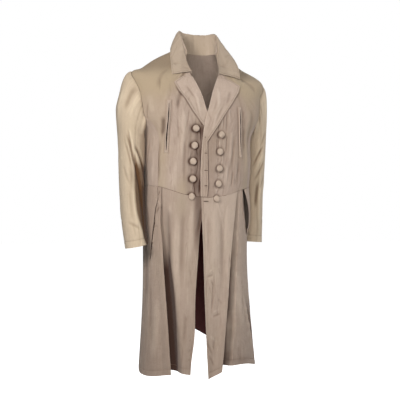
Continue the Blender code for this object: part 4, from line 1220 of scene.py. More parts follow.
@dataclass
class Bodice:
    """The upper body: two fronts, two side bodies and the back, down to the waist seam."""

    rows_step: float = GRID_STEP_FRONT
    columns: int = 100
    side_columns: int = 60
    back_columns: int = 92
    back_crease_share: float = 0.6
    button_dimple: float = 0.0022
    button_ring: float = 0.0140
    ring_width: float = 0.0050
    welt_radius: float = 0.170
    welt_reach: float = 0.0080
    pull_pattern: tuple = (
        ((2.4, -1.4, 3, 0.004), (-1.4, 0.8, -2, 0.020), (4.8, 0.9, -2, 0.012)),
        ((-1.6, -1.5, -2, 0.016), (3.4, 0.9, 2, 0.006)),
        ((1.0, -0.9, -3, 0.022), (-2.8, -1.2, 2, 0.010), (5.6, 0.8, 1, 0.016)),
        ((-2.6, 1.0, 3, 0.012), (2.2, -1.3, -2, 0.018)),
    )

    def front_rows(self) -> Array:
        """Heights from the waist up to the neck, with rows on the armhole's ends.

        Returns:
            The heights, rising.
        """
        levels = (WAIST_ROW_HEIGHT, CHEST_HEIGHT, SHOULDER_TIP_HEIGHT, NECK_HEIGHT)
        spans = zip(levels[:-1], levels[1:])
        parts = [np.linspace(a, b, int((b - a) / self.rows_step) + 1)[:-1] for a, b in spans]
        return np.concatenate(parts + [[NECK_HEIGHT]])

    def drop(self, angle: Array, height: Array) -> Array:
        """Bends the level rows near the waist onto the slanting waist seam."""
        share = ease((WAIST_FADE_HEIGHT - height) / (WAIST_FADE_HEIGHT - WAIST_ROW_HEIGHT))
        return height + share * (waist_height(angle) - WAIST_ROW_HEIGHT)

    def outer_angle(self, height: Array) -> Array:
        """A front's outer edge: the side seam, then the armhole, then the shoulder seam."""
        outer = np.where(height <= CHEST_HEIGHT + 1e-9, FRONT_SEAM.at(height), ARMHOLE_FRONT.at(height))
        return np.where(height >= SHOULDER_TIP_HEIGHT, 90.0, outer)

    def inner_angle(self, height: Array, side: Side) -> Array:
        """A front's inner edge: the front edge and roll line, then the neckline."""
        edge = side.value * angle_of(FRONT_EDGES[side].at(height), height)
        return np.where(height > NECKLINE_FOOT_HEIGHT, NECKLINE.at(height), edge)

    def button_pull(self, angle: Array, height: Array, side: Side) -> Array:
        """The ring-shaped hollows round the buttons and the uneven pulls between them.

        Args:
            angle: degrees round the body, signed.
            height: metres above the origin.
            side: the wearer's side.

        Returns:
            Metres outwards.
        """
        total = np.zeros(np.shape(angle))
        places = [(float(angle_of(b.x, b.height)), b.height) for b in BUTTONS[side]]
        for a, z in places:
            away = np.hypot(np.radians(angle - a) * FRONT_RADIUS, height - z)
            total -= self.button_dimple * bell(away - self.button_ring, self.ring_width)
        pulls = []
        for k, ((a0, z0), (a1, z1)) in enumerate(zip(places[:-1], places[1:])):
            for away, depth, bow, trim in self.pull_pattern[k]:
                pulls.append(Crease(a0 + away, z0 - trim, a1 + away * 0.7, z1 + trim, 3.6, depth, bow))
        return total + crease_relief(angle, height, pulls, FRONT_RADIUS)

    def front_offset(self, angle: Array, height: Array, side: Side) -> Array:
        """Offset of a front's cloth off the body form, creases and seams included.

        Args:
            angle: degrees round the body, signed.
            height: metres.
            side: the wearer's side.

        Returns:
            Metres outwards.
        """
        plain = np.abs(angle)
        relief = crease_relief(angle, height, FRONT_CREASES[side] + self.fine_creases(side))
        relief = relief + self.button_pull(angle, height, side)
        to_seam = (self.outer_angle(height) - plain) * DEGREE_ARC
        relief = relief + seam_dip(to_seam) + waist_dip(plain, height)
        # Round the pocket's frame the cloth is drawn flat and dips along the frame's outline.
        welt = WELTS[side]
        fall = np.clip((height - welt.top_height) / (welt.end_height - welt.top_height), 0, 1)
        line = np.abs(angle_of(welt.top_x + (welt.end_x - welt.top_x) * fall, height))
        to_frame = np.abs(plain - line) * math.radians(1) * self.welt_radius - self.welt_reach
        above, below = welt.top_height + self.welt_reach - height, height - welt.end_height + self.welt_reach
        along = ease(above / 0.006) * ease(below / 0.006)
        relief = relief * (1 - 0.75 * along * ease(-to_frame / 0.003 + 1))
        relief = relief + along * seam_dip(to_frame, 0.0013, 0.0021)
        # The fronts stay flat under the lapels, so that nothing pokes through.
        local, beside = self.under_lapel(angle, height, side)
        under = ease(local / 1.5 + 1) * beside
        relief = relief * (1 - under) + (np.minimum(relief, 0) - 0.0003) * under
        # The relief fades out towards the front edge, where the roll of the lapel begins.
        inner = (plain - np.abs(self.inner_angle(height, side))) * math.radians(1) * FRONT_RADIUS
        return lap_offset(side.value * angle, side) + relief * ease(inner / 0.012)

    def under_lapel(self, angle: Array, height: Array, side: Side) -> tuple[Array, Array]:
        """Degrees in from the lapel's outer edge, and whether the lapel reaches that height.

        Args:
            angle: degrees round the body, signed.
            height: metres above the origin.
            side: the wearer's side.

        Returns:
            The degrees, and true where the lapel reaches.
        """
        nodes, edges = LAPEL_OUTERS[side].values.T
        rising = slice(None, None, 1 if nodes[0] < nodes[-1] else -1)
        edge = np.interp(height, nodes[rising], edges[rising])
        return side.value * (angle_of(edge, height) - angle), (height > nodes.min()) & (height < nodes.max())

    def front_marks(self, angle: Array, height: Array, side: Side) -> dict[str, Array]:
        """Where a front has painted shade, is paler or darker, and has a yellow cast.

        Painted shadows flank each button as dark crescents, a painted shadow line follows the lapel's
        outer edge, and the shoulders are yellower and darker than the chest, darkest at their top. The
        right front has painted shade towards the left front's edge that lies over it, painted shade
        darkens the outer chest, more on the left front, and the left front is darker near its own edge.

        Args:
            angle: degrees round the body, signed.
            height: metres.
            side: the wearer's side.

        Returns:
            The marks by name.
        """
        local, beside = self.under_lapel(angle, height, side)
        right = side is Side.RIGHT
        # A painted shadow line lies just outside the lapel's outer edge.
        line = 0.62 if right else 0.34 + 0.46 * ease((-0.325 - height) / 0.02)
        shade = line * bell(local + 0.7, 0.9) * beside * ease((-0.15 - height) / 0.02)
        # Painted shadows flank each button as dark crescents.
        for button in BUTTONS[side]:
            u = np.radians(angle - angle_of(button.x, button.height)) * FRONT_RADIUS
            away = np.hypot(u, height - button.height) + 1e-6
            painted_flank_shade = np.where(u * side.value < 0, 0.92, 0.70) * (np.abs(u) / away) ** 1.6
            shade = shade + (1.0 if right else 0.8) * painted_flank_shade * bell(away - 0.0136, 0.0021)
        shoulder = ease((height + 0.25) / 0.15) * ease((np.abs(angle) - 34) / 14)
        cast = 0.75 * shoulder + 0.45 * ease((np.abs(angle) - 46) / 8)
        shade = shade + 0.30 * ease((height + 0.115) / 0.05)
        # Painted shade darkens the outer chest, much more on the left front.
        outer_chest = spot(angle, height, (side.value * 46, -0.33), (14, 0.12))
        fade = -0.55 * shoulder - (0.05 if right else 0.34) * outer_chest
        if right:
            # The left front's edge casts a painted shadow on the right front beside it.
            steps = ((0.30, 33, 8), (0.40, 22, 5), (0.25, 13, 3))
            painted_strip_shadow = sum(amount * ease((angle + start) / span) for amount, start, span in steps)
            uneven = 0.85 + 0.15 * np.sin(61 * height + 1.0)
            shade = shade + ease((-0.27 - height) / 0.05) * painted_strip_shadow * uneven
            cast = cast + 0.6 * spot(angle, height, (-33, -0.53), (8, 0.05))
        else:
            above_waist = spot(angle, height, (14, -0.50), (16, 0.08))
            fade = fade + 0.20 * above_waist - 0.15 - 0.34 * ease((15 - angle) / 7)
        return {"shade": np.minimum(shade, 0.9), "cast": cast, "fade": fade}

    def fine_creases(self, side: Side) -> list[Crease]:
        """The small uneven creases of a front."""
        low, high = (8, 66) if side is Side.LEFT else (-66, -8)
        return small_creases(11 + side.value, 90, (low, high), (-0.50, -0.05), 0.22)

    def front(self, side: Side) -> Grid:
        """The grid of a front.

        Args:
            side: the wearer's side.

        Returns:
            The sheet, with its marks.
        """
        rows = self.front_rows()
        inner, outer = self.inner_angle(rows, side), self.outer_angle(rows) - SEAM_GAP_ANGLE
        share = np.linspace(0, 1, self.columns)
        angle = inner[:, None] + (outer - inner)[:, None] * share
        height = self.drop(angle, np.repeat(rows[:, None], len(share), axis=1))
        height[0] += FRONT_WAIST_GAP
        angle = side.value * angle
        offset = self.front_offset(angle, height, side)
        marks = self.front_marks(angle, height, side)
        return Grid.on_body(angle, height, offset, offset - lap_offset(side.value * angle, side), marks=marks)

    def side_places(self) -> tuple[Array, Array]:
        """Angles and heights of a side body's grid, before it is mirrored.

        Returns:
            Angles and heights by row and column.
        """
        rows = self.front_rows()
        rows = rows[rows <= CHEST_HEIGHT + 1e-6]
        share = np.linspace(0, 1, self.side_columns)
        ends = CHEST_HEIGHT + (BACK_ARMHOLE_HEIGHT - CHEST_HEIGHT) * share
        dip = (CHEST_HEIGHT + BACK_ARMHOLE_HEIGHT) / 2 - UNDERARM_HEIGHT
        top = ends - dip * np.sin(np.pi * share) ** 0.8
        rise = (rows - WAIST_ROW_HEIGHT) / (CHEST_HEIGHT - WAIST_ROW_HEIGHT)
        height = WAIST_ROW_HEIGHT + rise[:, None] * (top - WAIST_ROW_HEIGHT)[None, :]
        front, back = FRONT_SEAM.at(height), BACK_SEAM.at(height)
        angle = front + (back - front) * share
        return angle, self.drop(angle, height)

    def side(self, side: Side) -> Grid:
        """The grid of a side body.

        Args:
            side: the wearer's side.

        Returns:
            The sheet.
        """
        angle, height = self.side_places()
        to_front, to_back = (angle - angle[:, :1]) * DEGREE_ARC, (angle[:, -1:] - angle) * DEGREE_ARC
        shrink = SEAM_GAP_ANGLE * np.linspace(1, -1, angle.shape[1])
        relief = crease_relief(angle, height, SIDE_CREASES + small_creases(23, 16, (62, 116), (-0.5, -0.3)))
        relief = relief + seam_dip(to_front) + seam_dip(to_back) + waist_dip(angle, height)
        angle = side.value * (angle + shrink)
        height[0] += SEAM_GAP
        return Grid.on_body(angle, height, relief, relief)

    def back_edge(self) -> tuple[Array, Array]:
        """Heights and angles up the back's outer edge: the side body, the armhole, the shoulder.

        Returns:
            The heights, rising, and the angles.
        """
        side_angle, side_height = self.side_places()
        armhole = np.linspace(BACK_ARMHOLE_HEIGHT, SHOULDER_TIP_HEIGHT, 34)[1:]
        shoulder = np.linspace(SHOULDER_TIP_HEIGHT, NECK_HEIGHT, 27)[1:]
        height = np.concatenate([side_height[:, -1], armhole, shoulder])
        angle = np.concatenate([side_angle[:, -1], ARMHOLE_BACK.at(armhole), np.full(len(shoulder), 90.0)])
        return height, angle

    def back(self) -> Grid:
        """The grid of the back: a smooth panel with soft drag lines from the armholes.

        Returns:
            The sheet.
        """
        rows, outer = self.back_edge()
        outer = outer + SEAM_GAP_ANGLE
        share = np.linspace(0, 1, self.back_columns)
        angle = outer[:, None] + (360 - 2 * outer)[:, None] * share
        height = np.repeat(rows[:, None], len(share), axis=1)
        to_waist = ease((-0.470 - height) / 0.035)
        height = height + to_waist * (waist_height(angle) - height[0, :1])
        height[0] = waist_height(angle[0]) + SEAM_GAP
        fine = small_creases(31, 60, (112, 248), (-0.49, -0.08), 0.5)
        relief = self.back_crease_share * crease_relief(angle, height, BACK_CREASES + fine)
        edge = np.minimum(angle - angle[:, :1], angle[:, -1:] - angle) * DEGREE_ARC
        relief = relief + seam_dip(edge) + waist_dip(angle, height)
        return Grid.on_body(angle, height, relief, relief)


def pleat_dip(away: Array, height: Array, side: Side) -> Array:
    """How far the under layer sinks near a pleat: its depth times an easing over the slope.

    Args:
        away: degrees from the pleat's edge, under the upper layer where it is negative.
        height: metres.
        side: whose pleat it is.

    Returns:
        Metres, negative.
    """
    table = PLEAT_DEPTHS[side]
    share = (away - table.at(height, "floor_angle")) / PLEAT_SLOPE_ANGLES[side]
    return -table.at(height, "dip") * (1 - ease(share))


def pleat_lift(away: Array, height: Array, side: Side) -> Array:
    """How far the edge of a pleat's upper layer stands proud of the body."""
    return PLEAT_DEPTHS[side].at(height, "lift") * (1 - ease(away / PLEAT_LIFT_ANGLE))


@dataclass
class Skirt:
    """Below the waist seam: two fronts, two side panels with hip slits, the back and its lining."""

    rows: int = 176
    front_columns: int = 64
    strip_columns: int = 22
    rear_columns: int = 58
    back_columns: int = 88
    lining_depth: float = 0.0032
    lining_wall: float = 0.0012
    edge_ease: float = 0.010
    seam_ease: float = 0.012
    close_pleat_height: float = -0.66
    # How wide, in degrees, the painted shade in the right pleat's valley reaches.
    valley: Table = field(
        default_factory=lambda: Table(
            "height width", [(-0.600, 3.0), (-0.720, 4.5), (-0.870, 8.5), (-1.050, 7.0), (-1.190, 4.5)]
        )
    )

    def heights(self, top_angle: Array, hem_angle: Array, hem: Table) -> Array:
        """Even steps from the waist seam down to the hem, column by column."""
        share = np.linspace(0, 1, self.rows)[:, None]
        top = waist_height(top_angle) - SEAM_GAP
        return top + (hem.at(hem_angle) - top) * share

    def places(
        self, side: Side, panel: str, angles: Callable[[Side, Array], Array]
    ) -> tuple[Array, Array]:
        """Angles and heights of a panel's grid, in even steps from the waist seam to its hem.

        Args:
            side: the wearer's side.
            panel: the panel's name without its side.
            angles: gives the angles of its columns at each height.

        Returns:
            The angles, before they are mirrored, and the heights.
        """
        ends = (SKIRT_TOP_HEIGHT, SKIRT_HEM_HEIGHT)
        top, hem = (side.value * angles(side, np.full((1, 1), z)) for z in ends)
        height = self.heights(top, hem, HEMS[f"{panel}_{side.word}"])
        return angles(side, height), height

    def front_angles(self, side: Side, height: Array) -> Array:
        """Angles of a front skirt's columns, from its front edge to its pleat, before mirroring.

        Args:
            side: the wearer's side.
            height: metres above the origin.

        Returns:
            Degrees by row and column.
        """
        inner = side.value * angle_of(FRONT_EDGES[side].at(height), height)
        underlap = PLEAT_DEPTHS[side].at(height, "underlap") if side is Side.RIGHT else 0.0
        outer = PLEATS[side].at(height) + underlap
        return inner + (outer - inner) * np.linspace(0, 1, self.front_columns)

    def relief(self, angle: Array, height: Array, seed: int, edge: Array) -> Array:
        """Creases, waist seam and hem band, faded out towards an edge that has to lie flat.

        Args:
            angle: degrees round the body, signed.
            height: metres.
            seed: fixes the small creases.
            edge: metres to the nearest edge that overlaps another layer.

        Returns:
            Metres outwards.
        """
        low, high = float(angle.min()), float(angle.max())
        count = int((high - low) * 0.9) + 12
        fine = small_creases(seed, count, (low, high), (-1.12, -0.56), 0.20)
        relief = crease_relief(angle, height, SKIRT_CREASES + fine)
        relief = relief * ease((height + 1.185) / 0.05 + 0.3)
        relief = relief * (0.15 + 0.85 * ease(edge / self.edge_ease))
        relief = relief + waist_dip(angle, height)
        return relief + hem_band(height - height[-1:])

    def front(self, side: Side) -> Grid:
        """The grid of a front skirt.

        Args:
            side: the wearer's side.

        Returns:
            The sheet, with its marks.
        """
        angle, height = self.places(side, "front_skirt", self.front_angles)
        away = PLEATS[side].at(height) - angle
        bend = pleat_lift if side is Side.LEFT else pleat_dip
        form = lap_offset(angle, side) + skirt_folds(side.value * angle, height) + bend(away, height, side)
        edge = np.radians(np.abs(away)) * MEAN_RADIUS
        # Near the waist the two layers of the pleat lie close, so the cloth there stays smooth.
        edge = np.where(height > self.close_pleat_height, edge, self.edge_ease)
        relief = self.relief(side.value * angle, height, 41 + side.value, edge)
        shade = self.hem_shade(height)
        if side is Side.RIGHT:
            # Painted shade fills the pleat's valley and its upper reach, and lies along the edge
            # under the left front below the waist.
            width = self.valley.at(height)
            shade = shade + 0.92 * (1 - ease((away - width + 1.5) / 3.5)) * ease((-0.70 - height) / 0.12)
            upper = ease((-0.58 - height) / 0.05) * ease((height + 0.88) / 0.10)
            shade = shade + 0.50 * bell(angle - 47, 2.2) * upper
            shade = shade + 0.22 * (1 - ease((away - width) / 9)) * ease((-0.78 - height) / 0.12)
            shade = shade + 0.62 * ease((20 - angle) / 6) * ease((height + 0.79) / 0.12)
        angle = side.value * angle
        fade = 0.22 * ease((angle + 6) / 4) * ease((height + 0.90) / 0.10) - 0.10 * ease((-6 - angle) / 4)
        cast = 0.6 * spot(angle, height, (-33, -0.58), (8, 0.05))
        marks = {"shade": shade, "cast": cast, "fade": fade}
        return Grid.on_body(angle, height, form + relief, relief, marks=marks)

    def hem_shade(self, height: Array) -> Array:
        """Painted shade: the cloth is drawn a little darker and browner from the knees down to the hem, where
        the light falls off.
        """
        return 0.19 * ease((-0.86 - height) / 0.32)

    def slit_angle(self, slit: Slit, height: Array) -> Array:
        """The angle of a hip slit's line, carried on below its end as a plain column."""
        fall = np.clip((SLIT_TOP_HEIGHT - height) / (SLIT_TOP_HEIGHT - slit.end_height), 0, 1)
        wobble = slit.wobble * np.sin(24 * fall) * (1 - fall) ** 3
        return slit.top_angle + (slit.end_angle - slit.top_angle) * fall**1.3 + wobble

    def side_angles(self, side: Side, height: Array) -> Array:
        """Angles of a side panel's columns: the strip before the slit, then the rest.

        Args:
            side: the wearer's side.
            height: metres above the origin.

        Returns:
            Degrees by row and column.
        """
        underlap = PLEAT_DEPTHS[side].at(height[:, :1], "underlap") if side is Side.LEFT else 0.0
        inner = PLEATS[side].at(height[:, :1]) - underlap
        middle = self.slit_angle(HIP_SLITS[side], height[:, :1])
        strip = inner + (middle - inner) * np.linspace(0, 1, self.strip_columns)
        rear = middle + (SIDE_BACK_ANGLE - middle) * np.linspace(0, 1, self.rear_columns)
        return np.concatenate([strip, rear], axis=1)

    def side(self, side: Side) -> Grid:
        """The grid of a side panel, whose hip slit parts it from the waist seam down.

        Args:
            side: the wearer's side.

        Returns:
            The sheet, with its marks, and no faces across the slit.
        """
        slit = HIP_SLITS[side]
        lip = self.strip_columns - 1
        angle, height = self.places(side, "side_skirt", self.side_angles)
        # The slit's gape is widest at its middle and narrows towards both ends.
        number = np.arange(angle.size).reshape(angle.shape)
        lip_height = height[:, lip]
        last_open = int(np.sum(lip_height > slit.end_height))
        share = np.clip((lip_height - slit.end_height) / (SLIT_TOP_HEIGHT - slit.end_height), 0, 1)
        openness = np.sin(np.pi * share) ** 0.8
        radius = float(BODY.at(SKIRT_TOP_HEIGHT, "half_width"))
        half_gape = np.degrees((SLIT_LEAST_GAPE + slit.gape * openness) / 2 / radius)
        behind = (angle[:, lip + 1 :] - angle[:, lip + 1 : lip + 2]) / SLIT_FLARE_ANGLE
        flare = slit.flare * openness[:, None] * (1 - ease(behind))
        angle[:last_open, lip] -= half_gape[:last_open]
        angle[:last_open, lip + 1] += half_gape[:last_open]
        height[0] = waist_height(angle[0]) - SEAM_GAP
        # Below the slit's end the columns of its two lips share their points.
        number[last_open:, lip + 1] = number[last_open:, lip]
        angle[:, -1] -= SEAM_GAP_ANGLE
        away = angle - PLEATS[side].at(height)
        bend = pleat_dip if side is Side.LEFT else pleat_lift
        form = skirt_folds(side.value * angle, height) + bend(away, height, side)
        form[:, lip + 1 :] += flare
        edge = np.radians(np.abs(away)) * MEAN_RADIUS
        edge = np.where(height > self.close_pleat_height, edge, self.edge_ease)
        relief = self.relief(side.value * angle, height, 53 + side.value, edge)
        behind = (SIDE_BACK_ANGLE - angle) * DEGREE_ARC
        relief = relief * ease(behind / self.seam_ease) + seam_dip(behind)
        angle = side.value * angle
        grid = Grid.on_body(angle, height, form + relief, relief)
        # Each side of the slit has directions of its own, and no faces lie between its lips.
        halves = [grid_normals(grid.points[:, : lip + 1]), grid_normals(grid.points[:, lip + 1 :])]
        grid.normals = np.concatenate(halves, axis=1)
        quads = np.stack([number[:-1, :-1], number[:-1, 1:], number[1:, 1:], number[1:, :-1]], axis=-1)
        grid.quads = np.delete(quads, lip, axis=1).reshape(-1, 4)
        shade = self.hem_shade(height)
        if side is Side.LEFT:
            # Painted shade fills the pleat's floor and lies more lightly behind a long ridge and at a spot by
            # the hem.
            slope = (away - PLEAT_DEPTHS[side].at(height, "floor_angle")) / PLEAT_SLOPE_ANGLES[side]
            shade = shade + 0.93 * (1 - ease((slope - 0.12) / 0.16)) * ease((-0.58 - height) / 0.10)
            ridge = 52 + 74 * (-0.92 - height)
            shade = shade + 0.30 * ease((angle - ridge) / 3) * ease((-0.90 - height) / 0.08)
            shade = shade + 0.25 * spot(angle, height, (44, -1.140), (14, 0.014))
        grid.marks = {"shade": shade, "fade": -0.25 * (angle < 0)}
        return grid

    def back(self, lining: bool = False) -> Grid:
        """The grid of the back skirt, or of the lining that hangs inside it.

        Args:
            lining: whether to make the lining.

        Returns:
            The sheet.
        """
        start = SIDE_BACK_ANGLE + SEAM_GAP_ANGLE
        columns = np.linspace(0, 1, self.back_columns)
        angle = np.repeat((start + (360 - 2 * start) * columns)[None, :], self.rows, axis=0)
        height = self.heights(angle[:1], angle[:1], HEMS["back_skirt"])
        relief = self.relief(angle, height, 67, np.full(angle.shape, self.edge_ease))
        sides = np.minimum(angle - angle[:, :1], angle[:, -1:] - angle) * DEGREE_ARC
        relief = relief * ease(sides / self.seam_ease) + seam_dip(sides)
        offset = skirt_folds(angle, height) + relief
        if lining:
            return Grid.on_body(angle, height, offset - self.lining_depth, relief, wall=self.lining_wall)
        return Grid.on_body(angle, height, offset, relief, marks={"shade": self.hem_shade(height)})


@dataclass
class Lapels:
    """The turned-back lapels; the left one goes on down as the buttonhole strip."""

    columns: int = 44
    row_step: float = 0.0024
    roll_radius: float = 0.0024
    puff: float = 0.0016
    strip_top: float = -0.340
    tip_lift: float = 0.0035

    def grid(self, side: Side) -> Grid:
        """The grid of a lapel from the roll under its fold out to its own edge.

        Across the lapel the cloth first goes round a half circle at the roll line, then lies on the
        front with a slight puff, and at its edge it lifts off a little.

        Args:
            side: the wearer's side.

        Returns:
            The sheet, with its marks.
        """
        table = LAPEL_OUTERS[side]
        nodes, edges = table.values[:, 0], table.values[:, 1]
        count = int((nodes[-1] - nodes[0]) / self.row_step)
        rows = np.linspace(nodes[-1], nodes[0], count)
        outer = np.interp(rows, nodes, edges)
        inner = FRONT_EDGES[side].at(rows)
        if side is Side.RIGHT:
            inner = np.minimum(inner, FRONT_EDGES[Side.LEFT].at(rows) - 0.0015)
        share = np.linspace(0, 1, self.columns)
        height = np.repeat(rows[:, None], len(share), axis=1)
        angle = angle_of(inner[:, None] + (outer - inner)[:, None] * share, height)
        width = np.abs(outer - inner)[:, None]
        from_edge = (1 - share) * width
        above = ease((height - self.strip_top) / 0.05)
        puff = self.puff * np.sin(np.pi * share) * above
        span = sorted((-4.0 * side.value, 46.0 * side.value))
        fine = small_creases(71 + side.value, 26, span, (-0.34, -0.13), 0.5)
        relief = crease_relief(angle, height, LAPEL_CREASES[side] + fine, FRONT_RADIUS) * above
        relief = relief * ease(from_edge / 0.012) * ease(share * width / 0.006)
        lift = 0.0008 + (0.0030 if side is Side.RIGHT else 0.0012) * above
        edge = lift * (1 - ease(from_edge / 0.016)) * ease((rows[0] - height) / 0.02 + 0.2)
        offset = lap_offset(side.value * angle, side) + LAYER + puff + edge
        if side is Side.LEFT:
            offset = offset + self.tip_lift * bell(height + 0.136, 0.016) * ease((share - 0.72) / 0.28)
        detail = relief + edge_groove(from_edge)
        # The columns of the roll come before the lapel's own, from under the fold up onto it.
        turn = np.radians([150.0, 120.0, 90.0, 62.0, 36.0, 14.0])
        low = self.roll_radius
        sweep = np.degrees(low * np.sin(turn) / FRONT_RADIUS)[None, :] * -side.value
        rolled = offset[:, :1] + detail[:, :1] - low * (1 - np.cos(turn))[None, :]
        angle = np.concatenate([angle[:, :1] + sweep, angle], axis=1)
        height = np.concatenate([np.repeat(height[:, :1], len(turn), axis=1), height], axis=1)
        offset = np.concatenate([rolled, offset + detail], axis=1)
        # The roll's columns have a small raised relief, so they get a little painted highlight.
        detail = np.concatenate([np.full(rolled.shape, 0.0008), detail], axis=1)
        marks = {"fade": -0.10 - 0.30 * ease((-0.31 - height) / 0.04)}
        return Grid.on_body(angle, height, offset, detail, marks=marks)


LAPEL_CREASES = {
    Side.RIGHT: creases(
        (-36, -0.150, -20, -0.205, 6, -1.4, 2), (-22, -0.175, -10, -0.262, 6, 1.2, 2),
        (-30, -0.195, -18, -0.250, 5, -1.0, -2),
    ),
    Side.LEFT: creases(
        (20, -0.150, 14, -0.240, 7, 1.3, 2), (38, -0.160, 26, -0.225, 6, -1.4, 2),
        (24, -0.220, 10, -0.290, 5, -1.2, -2), (12, -0.250, 4, -0.320, 5, 1.0),
    ),
}


def smooth_rows(rows: Array, count: int) -> Array:
    """Adds rows between the given ones by a cubic whose slopes come from the neighbouring rows.

    Args:
        rows: the given rows of points.
        count: how many rows to give back.

    Returns:
        The rows.
    """
    slopes = np.gradient(rows, axis=0)
    place = np.linspace(0, len(rows) - 1, count)
    left = np.minimum(place.astype(int), len(rows) - 2)
    t = (place - left)[:, None, None]
    return cubic(t, rows[left], slopes[left], rows[left + 1], slopes[left + 1])


@dataclass
class Collar:
    """The fold-over collar: its stand rises from the neckline, turns over and falls to its edge."""

    around: int = 240
    down: int = 64
    fold_rise: float = 0.004
    wave: float = 0.0013
    tip_settle: float = 0.0030
    wall: float = 0.0020
    half_length: float = 0.22
    hanging_shares: tuple = (0.0, 0.22, 0.48, 0.75, 1.0)
    stand_shares: tuple = (-0.05, 0.35, 0.7, 1.0)

    def line(self, prefix: str, place: Array) -> Array:
        """One of the collar's lines, from the middle back to its front end, on the wearer's left."""
        parts = [COLLAR.at(place, f"{prefix}_{axis}") for axis in "xyz"]
        return np.stack(parts, axis=-1) + np.array([CENTRE_X, 0, 0])

    def neck_line(self, place: Array) -> Array:
        """The collar's seam, just inside the fronts' neckline and just above the back's.

        Args:
            place: share of the way from the middle back to the front end.

        Returns:
            Points on the seam.
        """
        height = COLLAR.at(place, "neck_height")
        angle = COLLAR.at(place, "neck_angle")
        seam = NECKLINE.at(height) - COLLAR_SEAM_TURN
        return body(np.where(height < NECK_HEIGHT, np.minimum(angle, seam), angle), height)

    def grid(self) -> Grid:
        """The collar's grid, rows from the neck seam over the fold to the outer edge.

        Straight lines run from the seam up to the fold line and from there down to the edge. The
        hanging part bulges by a half sine and waves more towards its edge, and its tips settle back
        onto the lapels. A cubic through these rows rounds the fold.

        Returns:
            The grid, with its own normals as outward directions.
        """
        turn = np.linspace(-1, 1, self.around)
        place = np.abs(turn)
        neck, fold, edge = self.neck_line(place), self.line("fold", place), self.line("edge", place)
        for line in (neck, fold, edge):
            line[turn < 0, 0] = 2 * CENTRE_X - line[turn < 0, 0]
        outward = unit((edge - fold) * np.array([1, 1, 0]))
        gap = (0.0030 + 0.0030 * (1 - place))[:, None]
        rise = self.fold_rise * np.array([0, 0, 1.0])
        rows = [neck + (fold - neck) * share for share in self.stand_shares]
        rows += [fold + rise * 0.8 + outward * gap * 0.35, fold + rise + outward * gap]
        hang = fold + outward * gap * 1.9
        for share in self.hanging_shares:
            wave = self.wave * share * (np.sin(7.3 * turn + 0.6) + 0.6 * np.sin(17.0 * turn + 2.0))
            bulge = 0.004 * math.sin(math.pi * share) + wave[:, None]
            drop_back = self.tip_settle * share * ease((place - 0.72) / 0.28)[:, None] * np.array([0, 1.0, 0])
            rows.append(hang + (edge - hang) * share + outward * bulge + drop_back)
        points = smooth_rows(np.stack(rows), self.down)
        normals = grid_normals(points)
        middle = np.array([CENTRE_X, 0.0, 0.0])
        facing = np.sign(((points[-4] - middle) * normals[-4] * np.array([1, 1, 0])).sum())
        normals = normals * facing
        length = running_length(points)
        from_edge = length[-1:] - length
        side_edge = (1 - place)[None, :] * 0.20
        u = np.degrees(turn[None, :] * self.half_length / MEAN_RADIUS) + 0 * length
        fine = small_creases(83, 56, (-62, 62), (0.02, 0.13), 0.6)
        relief = 1.5 * crease_relief(u, length, fine) * ease(from_edge / 0.012) * ease(side_edge / 0.012)
        relief += edge_groove(from_edge)
        sides = ease((np.abs(turn) - 0.45) / 0.3)
        # Painted shade lies on the stand and the top of the fall at the sides; the wearer's left half is
        # darker and all of it yellower.
        marks = {
            "fade": 0 * length - 0.22 * ease((turn - 0.35) / 0.2),
            "cast": 0.6 + 0 * length,
            "shade": 0.12 * sides * ease((0.058 - length) / 0.015),
        }
        return Grid(points + relief[..., None] * normals, normals, relief, wall=self.wall, marks=marks)


